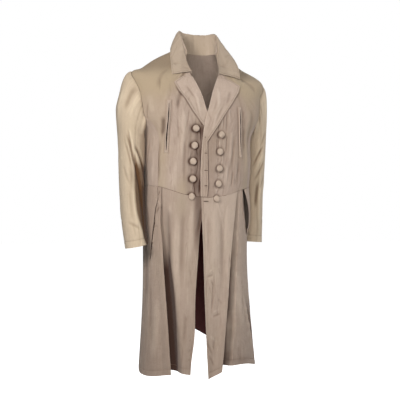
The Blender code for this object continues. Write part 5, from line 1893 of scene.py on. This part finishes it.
SLEEVE_CREASES = {
    Side.RIGHT: creases(
        (52, -0.318, 90, -0.455, 5, -4.6, 3), (88, -0.365, 152, -0.478, 7, -6.5, 3),
        (84, -0.372, 158, -0.570, 6, 5.0, 2), (82, -0.385, 126, -0.610, 9, -8.0, 3),
        (62, -0.300, 92, -0.410, 6, 2.6, 2), (44, -0.345, 78, -0.465, 5, -2.4, 3),
        (58, -0.300, 76, -0.400, 4, -2.6, 2), (36, -0.430, 70, -0.520, 7, -1.4, -3),
        (76, -0.400, 92, -0.680, 9, 4.0, 3), (118, -0.500, 130, -0.735, 16, -9.0, 3),
        (60, -0.520, 66, -0.650, 9, -1.2, 3), (155, -0.420, 157, -0.840, 24, -9.0),
        (20, -0.150, 16, -0.300, 10, 1.8, 2), (48, -0.150, 44, -0.250, 8, -2.2, 2),
        (72, -0.170, 60, -0.280, 7, 1.6, 2), (-30, -0.330, -8, -0.420, 8, -2.0, 3),
        (200, -0.380, 250, -0.450, 8, -2.6, 4), (220, -0.430, 280, -0.480, 8, 2.0, 4),
        (300, -0.300, 280, -0.420, 9, -1.8, 3), (250, -0.560, 262, -0.700, 9, 1.6, 3),
        (40, -0.640, 110, -0.672, 7, -1.6, 2), (-40, -0.620, 20, -0.660, 7, -1.2, 2),
    ),
    Side.LEFT: creases(
        (70, -0.345, 140, -0.440, 7, -3.6, 3), (60, -0.400, 128, -0.490, 7, -3.0, -3),
        (66, -0.375, 130, -0.465, 7, 2.4, 3), (52, -0.290, 96, -0.360, 7, -2.4, 2),
        (196, -0.230, 198, -0.580, 24, -8.0), (40, -0.450, 90, -0.530, 8, -2.0, 3),
        (96, -0.480, 106, -0.600, 11, -4.6, 2), (78, -0.480, 82, -0.660, 9, 2.6, 3),
        (60, -0.130, 84, -0.270, 8, -2.2, 2), (34, -0.140, 44, -0.300, 9, 2.0, 2),
        (86, -0.180, 108, -0.290, 7, -2.8, 2), (200, -0.370, 250, -0.450, 8, -2.6, 4),
        (220, -0.420, 280, -0.480, 8, 2.0, 4), (290, -0.300, 275, -0.430, 9, -1.8, 3),
        (250, -0.560, 262, -0.690, 9, 1.6, 3), (20, -0.620, 70, -0.650, 7, -1.4, 2),
        (330, -0.420, 380, -0.520, 9, -1.8, 3),
    ),
}
# Where the painted shade on the inner side of each sleeve begins: height and degrees round the sleeve.
RIGHT_SHADE_EDGE = [(-0.72, 124), (-0.604, 82), (-0.55, 78), (-0.491, 80), (-0.409, 92)]
LEFT_SHADE_EDGE = [(-0.70, 150), (-0.56, 132), (-0.45, 146)]
FRONT_SLEEVE_SEAM_HEIGHT = -0.225
BACK_SLEEVE_SEAM_HEIGHT = -0.190
SLEEVE_BEND_HEIGHT = -0.460


@dataclass
class Sleeves:
    """Two-piece sleeves hanging from the armholes, each cut lengthways into an upper and under half."""

    bodice: Bodice
    cap_rings: int = 30
    cap_end_pull: float = 0.9
    ring_step: float = 0.0040
    radius: float = 0.055
    cuff_band: float = 0.025
    eased_span: float = 62.0
    gathers: int = 17
    shaded: dict[Side, tuple[Table, float, float]] = field(
        default_factory=lambda: {
            Side.RIGHT: (Table("height turn", RIGHT_SHADE_EDGE), -0.41, -0.73),
            Side.LEFT: (Table("height turn", LEFT_SHADE_EDGE), -0.49, -0.66),
        }
    )

    def armhole(self) -> Array:
        """The armhole's points round the wearer's left arm, from the shoulder tip forwards.

        Returns:
            The points in order, the first not repeated.
        """
        rows = self.bodice.front_rows()
        front = rows[(rows >= CHEST_HEIGHT - 1e-6) & (rows <= SHOULDER_TIP_HEIGHT + 1e-6)][::-1]
        angle, height = self.bodice.side_places()
        rows = self.bodice.back_edge()[0]
        back = rows[(rows >= BACK_ARMHOLE_HEIGHT - 1e-6) & (rows <= SHOULDER_TIP_HEIGHT + 1e-6)]
        parts = [body(ARMHOLE_FRONT.at(front), front), body(angle[-1], height[-1])[1:-1]]
        return np.concatenate(parts + [body(ARMHOLE_BACK.at(back), back)[:-1]])

    def ring(self, side: Side, height: Array, turn: Array) -> Array:
        """Level rings of the arm's tube, ovals that tilt towards the cuff.

        Args:
            side: the wearer's side.
            height: each ring's height.
            turn: radians round the arm, from its outside forwards.

        Returns:
            Points by ring and turn.
        """
        table = SLEEVES[side]
        height = height[:, None]
        x, y, width, depth = (table.at(height, name) for name in ("x", "y", "half_width", "half_depth"))
        low = ease((SLEEVE_BEND_HEIGHT - height) / (SLEEVE_BEND_HEIGHT - table.values[0, 0]))
        fall = height - CUFF_TILT[side] * low * width * np.cos(turn)
        return np.stack([x + width * np.cos(turn), y - depth * np.sin(turn), fall + 0 * turn], axis=-1)

    def tube(self, side: Side) -> tuple[Array, Array, Array]:
        """The whole sleeve on the wearer's left before it is cut.

        The cap is a cubic from each point of the armhole to the first ring, leaving the armhole
        outwards and meeting the ring downwards.

        Args:
            side: whose sleeve.

        Returns:
            Points by ring and column, the columns' turns in radians, and the armhole's heights.
        """
        loop = self.armhole()
        steps = np.linalg.norm(np.roll(loop, -1, axis=0) - loop, axis=1)
        turn = 2 * np.pi * np.concatenate([[0], np.cumsum(steps)[:-1]]) / steps.sum()
        heights = SLEEVES[side].values[:, 0]
        levels = np.linspace(heights[-1], heights[0], int((heights[-1] - heights[0]) / self.ring_step))
        rings = self.ring(side, levels, turn)
        first = rings[0]
        down = unit(self.ring(side, levels[:1] - 0.045, turn)[0] - first)
        leave = unit((loop - loop.mean(axis=0)) * np.array([0.9, 0.35, 0.25]) + np.array([0.035, 0, -0.045]))
        reach = np.linalg.norm(first - loop, axis=1)[:, None]
        t = np.linspace(0, 1, self.cap_rings + 1)[:-1, None, None]
        cap = cubic(t, loop, leave * reach * CAP_FULLNESS[side], first, down * reach * self.cap_end_pull)
        cap[0] = loop + leave * 0.0006
        return np.concatenate([cap, rings]), turn, loop[:, 2]

    def halves(self, side: Side) -> tuple[Grid, Grid]:
        """The upper and the under half, creased, and cut apart at the front and back seams.

        Args:
            side: the wearer's side.

        Returns:
            The two sheets, with their marks.
        """
        points, turn, loop_height = self.tube(side)
        columns = len(turn)
        normals = grid_normals(points, wrap=True)
        centre = points.mean(axis=1, keepdims=True)
        normals = normals * np.sign(((points - centre) * normals).sum())
        # The two seams start where the armhole has their heights, in front and behind.
        lowest = int(np.argmin(loop_height))
        front_cut = int(np.argmin(np.abs(loop_height[:lowest] - FRONT_SLEEVE_SEAM_HEIGHT)))
        back_cut = lowest + int(np.argmin(np.abs(loop_height[lowest:] - BACK_SLEEVE_SEAM_HEIGHT)))
        degrees = np.degrees(turn)[None, :] + 0 * points[..., 0]
        fine = small_creases(97 + side.value, 70, (0, 360), (-0.70, -0.16), 0.55)
        lines = SLEEVE_CREASES[side] + fine + self.puckers(side)
        # The creases are added once for each whole turn that they may lie in.
        turns = (degrees + shift for shift in (-360, 0, 360))
        relief = sum(crease_relief(each, points[..., 2], lines, self.radius) for each in turns)
        travel = running_length(points)
        relief = relief * ease(travel / 0.012) + seam_dip(travel, 0.0003, 0.0030)
        relief = relief + hem_band(travel[-1:] - travel, self.cuff_band)
        for cut in (front_cut, back_cut):
            across = (degrees - math.degrees(turn[cut])) * math.radians(1) * self.radius
            relief = relief + seam_dip(across, 0.0010, 0.0030)
        points = points + relief[..., None] * normals
        height = points[..., 2]
        # Painted shade lies on the inner side of the arm between two heights.
        edge, top, foot = self.shaded[side]
        shade = 0.86 * ease((degrees - edge.at(height)) / 14) * (1 - ease((degrees - 190) / 30))
        shade = shade * ease((top - height) / 0.05) * ease((height - foot) / 0.03 + 0.3)
        if side is Side.RIGHT:
            # On the right sleeve painted shade also darkens the folds at the elbow.
            shade = np.minimum(shade + 0.45 * spot(degrees, height, (76, -0.475), (9, 0.045)), 0.9)
        # The halves' edges move in by half a gap at the seams, and the right sleeve is mirrored.
        grids = []
        upper = np.arange(back_cut, front_cut + columns + 1) % columns
        under = np.arange(front_cut, back_cut + 1)
        for picked in (upper, under):
            part, facing, detail = points[:, picked].copy(), normals[:, picked], relief[:, picked]
            marks = {"shade": shade[:, picked]}
            for edge, inside in ((0, 1), (-1, -2)):
                part[:, edge] += unit(part[:, inside] - part[:, edge]) * SEAM_GAP / 2
            if side is Side.RIGHT:
                part = part * np.array([-1, 1, 1]) + np.array([2 * CENTRE_X, 0, 0])
                facing = facing * np.array([-1, 1, 1])
            grids.append(Grid(part, facing, detail, marks=marks))
        return grids[0], grids[1]

    def puckers(self, side: Side) -> list[Crease]:
        """Short gathers where the sleeve's head is eased into the armhole, over the shoulder.

        Args:
            side: the wearer's side.

        Returns:
            The creases.
        """
        rng = np.random.default_rng(5 + side.value)
        span, count = self.eased_span, self.gathers
        turns = np.linspace(-span, span, count) + rng.normal(0, 1.8, count)
        depths = rng.uniform(-1.3, 0.7, count)
        top = SHOULDER_TIP_HEIGHT - 0.05 * (np.abs(turns) / span) ** 2
        rows = zip(turns.tolist(), top.tolist(), depths.tolist())
        return [Crease(t, h + 0.012, t * 1.08, h - 0.030, 4.0, d, 1.0) for t, h, d in rows]


@dataclass
class Buttons:
    """Covered buttons: cloth drawn over a domed disc and gathered under its rim."""

    radius: float = 0.0122
    height: float = 0.0064
    rings: int = 30
    spokes: int = 72
    gathers: int = 26
    rim_share: float = 0.8
    rim_height: float = 0.42

    def grid(self, place: Place, side: Side, seed: int) -> tuple[Array, Array, Array]:
        """Points of a button, their place on the flat cloth, and the relief.

        The profile goes from the middle of the dome over the rim and in under it. Fine radial
        gathers deepen towards the rim, and a soft uneven wave lies on the dome.

        Args:
            place: where it is sewn.
            side: which row it belongs to.
            seed: fixes its unevenness.

        Returns:
            Points by ring and spoke, flat place on the cloth, and relief.
        """
        angle = angle_of(place.x, place.height)
        nearest = angle_of(place.x - self.radius, place.height)
        base = float(lap_offset(nearest, side)) + 0.0004
        centre = body(angle, np.array(place.height), base)
        outward = ring_normal(np.radians(angle), np.array(place.height))
        upward = unit(np.array([0, 0, 1.0]) - outward[2] * outward)
        across = np.cross(upward, outward)
        s = np.linspace(0, 1, self.rings)[:, None]
        turn = np.linspace(0, 2 * np.pi, self.spokes + 1)[None, :-1]
        over, under = np.minimum(s / self.rim_share, 1), np.maximum(s - self.rim_share, 0)
        under = under / (1 - self.rim_share)
        radius = np.where(s < self.rim_share, np.sin(over * np.pi / 2), 1 - 0.42 * under**1.4)
        dome = self.rim_height + (1 - self.rim_height) * np.cos(over * np.pi / 2) ** 0.80
        rise = np.where(s < self.rim_share, dome, self.rim_height * (1 - under))
        rng = np.random.default_rng(seed)
        phase = rng.uniform(0, 6.3, 3)
        uneven = phase[0] + 1.4 * np.sin(3 * turn)
        gather = 0.00022 * ease((s - 0.45) / 0.4) * np.sin(self.gathers * turn + uneven)
        wave = 0.00025 * np.sin(2 * turn + phase[1]) * s + 0.0002 * np.sin(5 * turn + phase[2]) * s**2
        reach = self.radius * radius + gather * 0.6
        lift = self.height * rise + gather + wave
        spoke = np.cos(turn)[..., None] * across + np.sin(turn)[..., None] * upward
        points = centre + reach[..., None] * spoke + lift[..., None] * outward
        flat = s * self.radius
        uv = np.stack([place.x + flat * np.cos(turn), place.height + flat * np.sin(turn)], axis=-1)
        return points, uv, (gather + wave) * 3 + 0.0006 * (1 - s) + 0 * turn

    def shade(self) -> Array:
        """Painted shade on both flanks of the rim, the one on the viewer's left more.

        Returns:
            The shade by ring and spoke.
        """
        s = np.linspace(0, 1, self.rings)[:, None]
        cosine = np.cos(np.linspace(0, 2 * np.pi, self.spokes + 1)[None, :-1])
        painted_flank_shade = np.where(cosine < 0, 0.90, 0.75) * np.abs(cosine) ** 0.8
        return painted_flank_shade * ease((s - 0.54) / 0.16)

    def build(self, place: Place, side: Side, number: int) -> Any:
        """Makes one button and hides the CAD node that it replaces.

        Args:
            place: where it is sewn.
            side: which row it belongs to.
            number: its number down the row.

        Returns:
            The object.
        """
        name = f"button_{side.word}_{number}"
        points, uv, relief = self.grid(place, side, 7 * number + side.value)
        quads = grid_quads(self.rings, self.spokes, wrap=True)
        flat = points.reshape(-1, 3)
        # The gathers and the dome's middle are painted paler or darker by their relief, painted light and
        # shade, and the rim's flanks get painted shade.
        marks = {"fade": np.clip(relief / (2 * ONE_MILLIMETRE), -0.6, 0.6), "shade": self.shade()}
        faces = quads.tolist() + [list(range((self.rings - 1) * self.spokes, self.rings * self.spokes))]
        face = quads[len(quads) // 2]
        if not faces_along(flat, face, flat[face[0]] - flat.mean(axis=0)):
            faces = [face[::-1] for face in faces]
        piece = mesh_object(f"covered_{name}", flat, faces, BUTTON_COTTON.material(), 70.0)
        write_marks(piece, uv.reshape(-1, 2), marks)
        return dress(piece, [name])


@dataclass
class BreastWelts:
    """Upright pocket slits on the chest: a narrow frame with raised lips, and a mouth whose pocket cloth is
    painted dark as shade.
    """

    bodice: Bodice
    width: float = 0.0135
    lip: float = 0.0012
    wall: float = 0.0010
    rim: float = 0.0016
    rows: int = 90
    lip_columns: int = 12
    mouth_ends: int = 3
    pocket_half_width: float = 0.0038

    def places(self, side: Side) -> tuple[Array, Array]:
        """X and height down the slit's line.

        Args:
            side: the wearer's side.

        Returns:
            The two rows of numbers.
        """
        line = WELTS[side]
        steps = np.linspace(0, 1, self.rows)
        x = line.top_x + (line.end_x - line.top_x) * steps
        return x, line.top_height + (line.end_height - line.top_height) * steps

    def mouth(self) -> Array:
        """Half the mouth's width down the slit: widest in its upper half."""
        steps = np.linspace(0, 1, self.rows)
        uneven = 0.75 + 0.18 * np.sin(11 * steps + 0.5) + 0.10 * np.sin(29 * steps)
        return 0.0007 + 0.0016 * uneven * ease((steps - 0.04) / 0.25) * ease((1 - steps) / 0.20)

    def frame(self, side: Side) -> Grid:
        """The frame's grid: its lips rise towards the mouth, which is left out of the faces.

        Args:
            side: the wearer's side.

        Returns:
            The sheet.
        """
        x, height = self.places(side)
        half = self.width / 2
        outer = np.linspace(-1, 0, self.lip_columns)[None, :]
        mouth = self.mouth()[:, None]
        left = outer * (half - mouth) - mouth
        away = np.concatenate([left, -left[:, ::-1]], axis=1)
        x = x[:, None] + away
        height = np.repeat(height[:, None], x.shape[1], axis=1)
        angle = angle_of(x, height)
        distance = np.abs(away) - mouth
        lips = self.lip * bell(distance - 0.0010, 0.0014)
        edge = self.rim * ease((half - np.abs(away)) / self.rim)
        offset = self.bodice.front_offset(angle, height, side)
        offset = np.maximum(offset, lap_offset(side.value * angle, side) - 0.0012) + 0.0002 + edge + lips
        number = np.arange(x.size).reshape(x.shape)
        quads = np.stack([number[:-1, :-1], number[1:, :-1], number[1:, 1:], number[:-1, 1:]], axis=-1)
        keep = np.ones(quads.shape[:2], bool)
        keep[self.mouth_ends : -self.mouth_ends, self.lip_columns - 1] = False
        # The frame's outer edge and its lips are painted paler, a painted highlight.
        rim = {"fade": 0.30 * ease((np.abs(away) - half + 0.003) / 0.002) + 0.20 * lips / self.lip}
        options = {"wall": self.wall, "quads": quads[keep], "marks": rim}
        return Grid.on_body(angle, height, offset, 0 * lips, **options)

    def pocketing(self, side: Side) -> Grid:
        """The pocket cloth at the bottom of the mouth, painted nearly black as the shade inside the slit.

        Args:
            side: the wearer's side.

        Returns:
            The sheet.
        """
        x, height = self.places(side)
        inside = slice(self.mouth_ends + 1, -self.mouth_ends - 1)
        across = np.linspace(-1, 1, 5) * self.pocket_half_width
        x, height = x[inside, None] + across, height[inside, None] + 0 * across
        angle = angle_of(x, height)
        offset = self.bodice.front_offset(angle, height, side) + 0.0004
        return Grid.on_body(angle, height, offset, 0 * angle, wall=0.0003)


@dataclass
class Trim:
    """Sewing that lies on the panels: mending stitches, the cuff vent's stitches and buttonholes."""

    tack_heights: tuple = (-0.715, -0.736, -0.757, -0.770, -0.795, -0.820)
    vent_turns: tuple = (106.0, 162.0)
    vent_heights: tuple = (-0.6995, -0.6925)
    vent_stitches: int = 9
    vent_lift: float = 0.0012
    bar_pitch: float = 0.0006
    bar_lift: float = 0.0009
    slit_lift: float = 0.0010
    slit_half_width: float = 0.0004

    def slit_tacks(self, lines: StitchLines, grid: Grid, column: int) -> None:
        """Short mending stitches down the strip in front of the right hip slit.

        Args:
            lines: gathers the stitches.
            grid: the side skirt's built surface.
            column: the strip's column that they cross.
        """
        for height in self.tack_heights:
            row = int(np.argmin(np.abs(grid.points[:, column, 2] - height)))
            outward = grid.normals[row, column]
            for line in (grid.points[row], grid.points[row + 1]):
                lines.add_bar(line[column - 1], line[column + 1], outward)

    def cuff_vent(self, sleeves: "Sleeves") -> Any:
        """Crossed pale stitches that hold the left cuff's vent shut.

        Args:
            sleeves: the sleeves, the left one of which has the vent.

        Returns:
            The object.
        """
        lines = StitchLines("cuff_vent_stitches", PALE_THREAD, radius=0.00055)
        turns = np.radians(np.linspace(*self.vent_turns, self.vent_stitches))
        outward = np.stack([np.cos(turns), -np.sin(turns), 0 * turns], axis=-1)
        lift = self.vent_lift * outward
        for low, high in (self.vent_heights, self.vent_heights[::-1]):
            first = sleeves.ring(Side.LEFT, np.array([low]), turns)[0] + lift
            second = sleeves.ring(Side.LEFT, np.array([high]), turns + 0.07)[0] + lift
            for bar in zip(first, second, outward):
                lines.add_bar(*bar)
        return dress(lines.build(), [])

    def buttonholes(self) -> Any:
        """Worked buttonholes: bars of thread set close round each slit, longer than they are apart.

        Returns:
            The object.
        """
        lines = StitchLines("buttonhole_stitches", BROWN_THREAD, radius=0.00035)
        for hole in BUTTONHOLES:
            steps = np.arange(-hole.half, hole.half, self.bar_pitch)
            angle = angle_of(hole.x + steps, hole.height)
            lift = lap_offset(angle, Side.LEFT) + LAYER + self.bar_lift
            level = hole.height + 0 * steps
            outward = ring_normal(np.radians(angle), level)
            for sign in (-1, 1):
                inner = body(angle, level + sign * 0.0003, lift)
                outer = body(angle, level + sign * 0.0015, lift - 0.0003)
                for bar in zip(inner, outer, outward):
                    lines.add_bar(*bar)
        return dress(lines.build(), [])

    def buttonhole_slits(self) -> Any:
        """Dark sheets in the openings between the bars, painted shade of the slits.

        Returns:
            The object.
        """
        points, quads = [], []
        for number, hole in enumerate(BUTTONHOLES):
            steps = np.linspace(-hole.half, hole.half, 12)
            angle = angle_of(hole.x + steps, hole.height)[None, :] + np.zeros((2, 1))
            height = hole.height + self.slit_half_width * np.array([[-1], [1]]) + 0 * angle
            lift = lap_offset(angle, Side.LEFT) + LAYER + self.slit_lift
            points.append(body(angle, height, lift).reshape(-1, 3))
            quads.append(grid_quads(*angle.shape) + angle.size * number)
        outer = np.concatenate(points)
        normals = unit(outer * np.array([1, 1, 0]) - np.array([0, 0.1, 0]))
        faces = np.concatenate(quads)
        if not faces_along(outer, faces[0], normals[0]):
            faces = faces[:, ::-1]
        flat = outer[:, [0, 2]]
        piece = cloth_wall("buttonhole_slits", outer, normals, faces, flat, {}, SLIT_SHADE.material(), 0.0004)
        return dress(piece, [])


@dataclass
class Studio:
    """A plain pale floor, soft lights and the camera where the photograph was taken."""

    azimuth: float = -17.0
    pitch: float = 2.25
    focal_pixels: float = 636.0
    distance: float = 2.399
    shift: float = -0.0151
    height: float = -0.653
    floor_height: float = -1.62
    middle_height: float = -0.55
    lights: tuple = (
        ("left light", (-1.92, -1.77, 0.62), 0.8, 44.0, "#FFFCF8"),
        ("right light", (2.55, -0.5, 0.5), 1.0, 33.0, "#FFFFFF"),
        ("low light", (-0.4, -2.5, -1.2), 0.6, 10.0, "#FFFCF8"),
        ("front light", (-0.60, -2.35, -0.20), 0.9, 24.0, "#FFFCF8"),
        ("back light", (0.4, 3.0, 1.2), 2.0, 48.0, "#FFFFFF"),
    )

    def camera(self) -> None:
        """Sets the camera from the photograph's direction, distance and focal length."""
        azimuth, pitch = math.radians(self.azimuth), math.radians(self.pitch)
        right = np.array([math.cos(azimuth), math.sin(azimuth), 0])
        flat = np.array([-math.sin(azimuth), math.cos(azimuth), 0])
        place = -flat * self.distance - right * self.shift + np.array([0, 0, self.height])
        data = bpy.data.cameras.new("camera")
        data.sensor_width = 36.0
        data.lens = self.focal_pixels * 36.0 / 400.0
        camera = bpy.data.objects.new("camera", data)
        camera.location = place.tolist()
        camera.rotation_euler = (math.pi / 2 + pitch, 0, azimuth)
        bpy.context.scene.collection.objects.link(camera)
        bpy.context.scene.camera = camera

    def light(self, name: str, place: Sequence[float], size: float, power: float, colour: str) -> None:
        """Adds a square soft light that faces the middle of the coat.

        Args:
            name: the light's name.
            place: where it hangs.
            size: the side of its square.
            power: watts.
            colour: an sRGB hex colour.
        """
        data = bpy.data.lights.new(name, "AREA")
        data.shape, data.size, data.energy = "SQUARE", size, power
        data.color = srgb_to_linear(colour)[:3]
        lamp = bpy.data.objects.new(name, data)
        x, y, z = np.array(place) - np.array([0.0, 0.0, self.middle_height])
        lamp.location = tuple(place)
        lamp.rotation_euler = (math.atan2(math.hypot(x, y), z), 0, math.atan2(y, x) + math.pi / 2)
        bpy.context.scene.collection.objects.link(lamp)

    def surroundings(self) -> None:
        """A white backdrop to the camera, and a soft light on the coat that is brighter from above."""
        world = bpy.data.worlds.new("studio")
        world.use_nodes = True
        tree = world.node_tree
        plain = tree.nodes["Background"]
        plain.inputs[0].default_value = (1, 1, 1, 1)
        plain.inputs[1].default_value = 1.0
        way = add_node(tree, "SeparateXYZ", None, {0: add_node(tree, "TexCoord").outputs["Generated"]})
        span = {"From Min": -0.6, "From Max": 0.9, "To Min": 0.02, "To Max": 0.10}
        up = add_node(tree, "MapRange", span, {"Value": way.outputs[2]})
        soft = add_node(tree, "Background", None, {"Strength": up.outputs[0]})
        soft.inputs[0].default_value = (1.0, 0.985, 0.96, 1.0)
        seen = add_node(tree, "LightPath").outputs["Is Camera Ray"]
        mix = add_node(tree, "MixShader", None, {0: seen, 1: soft.outputs[0], 2: plain.outputs[0]})
        output = next(node for node in tree.nodes if node.type == "OUTPUT_WORLD")
        tree.links.new(mix.outputs[0], output.inputs[0])
        bpy.context.scene.world = world

    def floor(self) -> None:
        """A wide pale floor, kept white to the camera and out of the light on the coat."""
        z = self.floor_height
        points = [(-30, -30, z), (30, -30, z), (30, 30, z), (-30, 30, z)]
        material = bpy.data.materials.new("pale studio floor")
        material.use_nodes = True
        shader = material.node_tree.nodes["Principled BSDF"]
        shader.inputs["Base Color"].default_value = (0.9, 0.9, 0.9, 1)
        shader.inputs["Roughness"].default_value = 0.9
        shader.inputs["Emission Color"].default_value = (1, 1, 1, 1)
        shader.inputs["Emission Strength"].default_value = 1.0
        floor = mesh_object("floor", points, [(0, 1, 2, 3)], material)
        floor.visible_diffuse = False

    def build(self) -> None:
        """Sets up the whole studio."""
        self.camera()
        self.surroundings()
        self.floor()
        for row in self.lights:
            self.light(*row)
        bpy.context.scene.view_settings.view_transform = "Standard"


TOPSTITCHING = {
    "lapel_right": [("end", 0.0060, 0.0, 0.97), ("head", 0.0060, 0.4, 1.0)],
    "lapel_left": [("end", 0.0060, 0.0, 0.99), ("head", 0.0060, 0.4, 1.0), ("start", 0.0120, 0.50, 0.99)],
    "front_skirt_right": [("start", 0.0070, 0.0, 1.0), ("foot", 0.0200, 0.0, 0.80)],
    "front_skirt_left": [("start", 0.0070, 0.0, 1.0), ("foot", 0.0200, 0.0, 1.0)],
    "side_skirt_right": [("foot", 0.0200, 0.0, 1.0)],
    "side_skirt_left": [("foot", 0.0200, 0.0, 1.0)],
    "back_skirt": [("foot", 0.0200, 0.0, 1.0)],
    "collar": [("foot", 0.0060, 0.0, 1.0), ("start", 0.0060, 0.62, 1.0), ("end", 0.0060, 0.62, 1.0)],
    "upper_sleeve": [("foot", 0.0250, 0.0, 1.0)],
    "under_sleeve": [("foot", 0.0250, 0.0, 1.0)],
    "breast_welt": [("start", 0.0012, 0.0, 1.0), ("end", 0.0012, 0.0, 1.0)],
}


def topstitch(lines: StitchLines, name: str, grid: Grid) -> None:
    """Sews the rows of stitches that a piece has along its edges.

    Args:
        lines: gathers the stitches.
        name: the piece's name.
        grid: the piece's built surface.
    """
    for piece, rows in TOPSTITCHING.items():
        if name.startswith(piece):
            for edge, distance, first, last in rows:
                lines.follow(grid, edge, distance, first, last)


def build_coat() -> None:
    """Builds every piece of the coat and hides the CAD nodes that they replace."""
    lines = StitchLines("topstitching", TAUPE_THREAD)
    bodice, skirt, lapels, collar = Bodice(), Skirt(), Lapels(), Collar()
    sleeves = Sleeves(bodice)
    welts = BreastWelts(bodice)
    trim = Trim()
    for side in Side:
        word = side.word
        panels = [
            ("front_bodice", bodice.front(side), COAT_TWILL),
            ("side_body", bodice.side(side), COAT_TWILL),
            ("front_skirt", skirt.front(side), SKIRT_TWILL),
            ("side_skirt", skirt.side(side), SKIRT_TWILL),
            ("lapel", lapels.grid(side), COLLAR_TWILL),
            ("breast_welt", welts.frame(side), COAT_TWILL),
        ]
        upper, under = sleeves.halves(side)
        for name, grid, finish in panels:
            piece = grid.build(f"{name}_{word}_cloth", finish)
            dress(piece, [f"{name}_{word}"], grid)
            topstitch(lines, piece.name, grid)
            if name == "side_skirt" and side is Side.RIGHT:
                trim.slit_tacks(lines, grid, skirt.strip_columns - 3)
        for name, grid in (("upper_sleeve", upper), ("under_sleeve", under)):
            piece = grid.build(f"{name}_{word}_cloth", SLEEVE_TWILL)
            dress(piece, [f"{name}_{word}"], grid)
            topstitch(lines, piece.name, grid)
        grid = welts.pocketing(side)
        dress(grid.build(f"pocket_mouth_{word}", POCKETING_IN_PAINTED_SHADE), [])
        for number, place in enumerate(BUTTONS[side], start=1):
            Buttons().build(place, side, number)
    for name, grid, finish, slot in (
        ("back_bodice", bodice.back(), COAT_TWILL, "coat_cotton"),
        ("back_skirt", skirt.back(), SKIRT_TWILL, "coat_cotton"),
        ("back_skirt_lining", skirt.back(lining=True), LINING_SATEEN, "lining"),
        ("collar", collar.grid(), COLLAR_TWILL, "coat_cotton"),
    ):
        piece = grid.build(f"{name}_cloth", finish)
        dress(piece, [name], grid)
        topstitch(lines, piece.name, grid)
    dress(lines.build(), [])
    trim.cuff_vent(sleeves)
    trim.buttonholes()
    trim.buttonhole_slits()


def main() -> None:
    """Builds the coat in its studio."""
    logging.basicConfig(level=logging.INFO, format="%(name)s: %(message)s")
    Studio().build()
    build_coat()


if __name__ == "__main__":
    main()
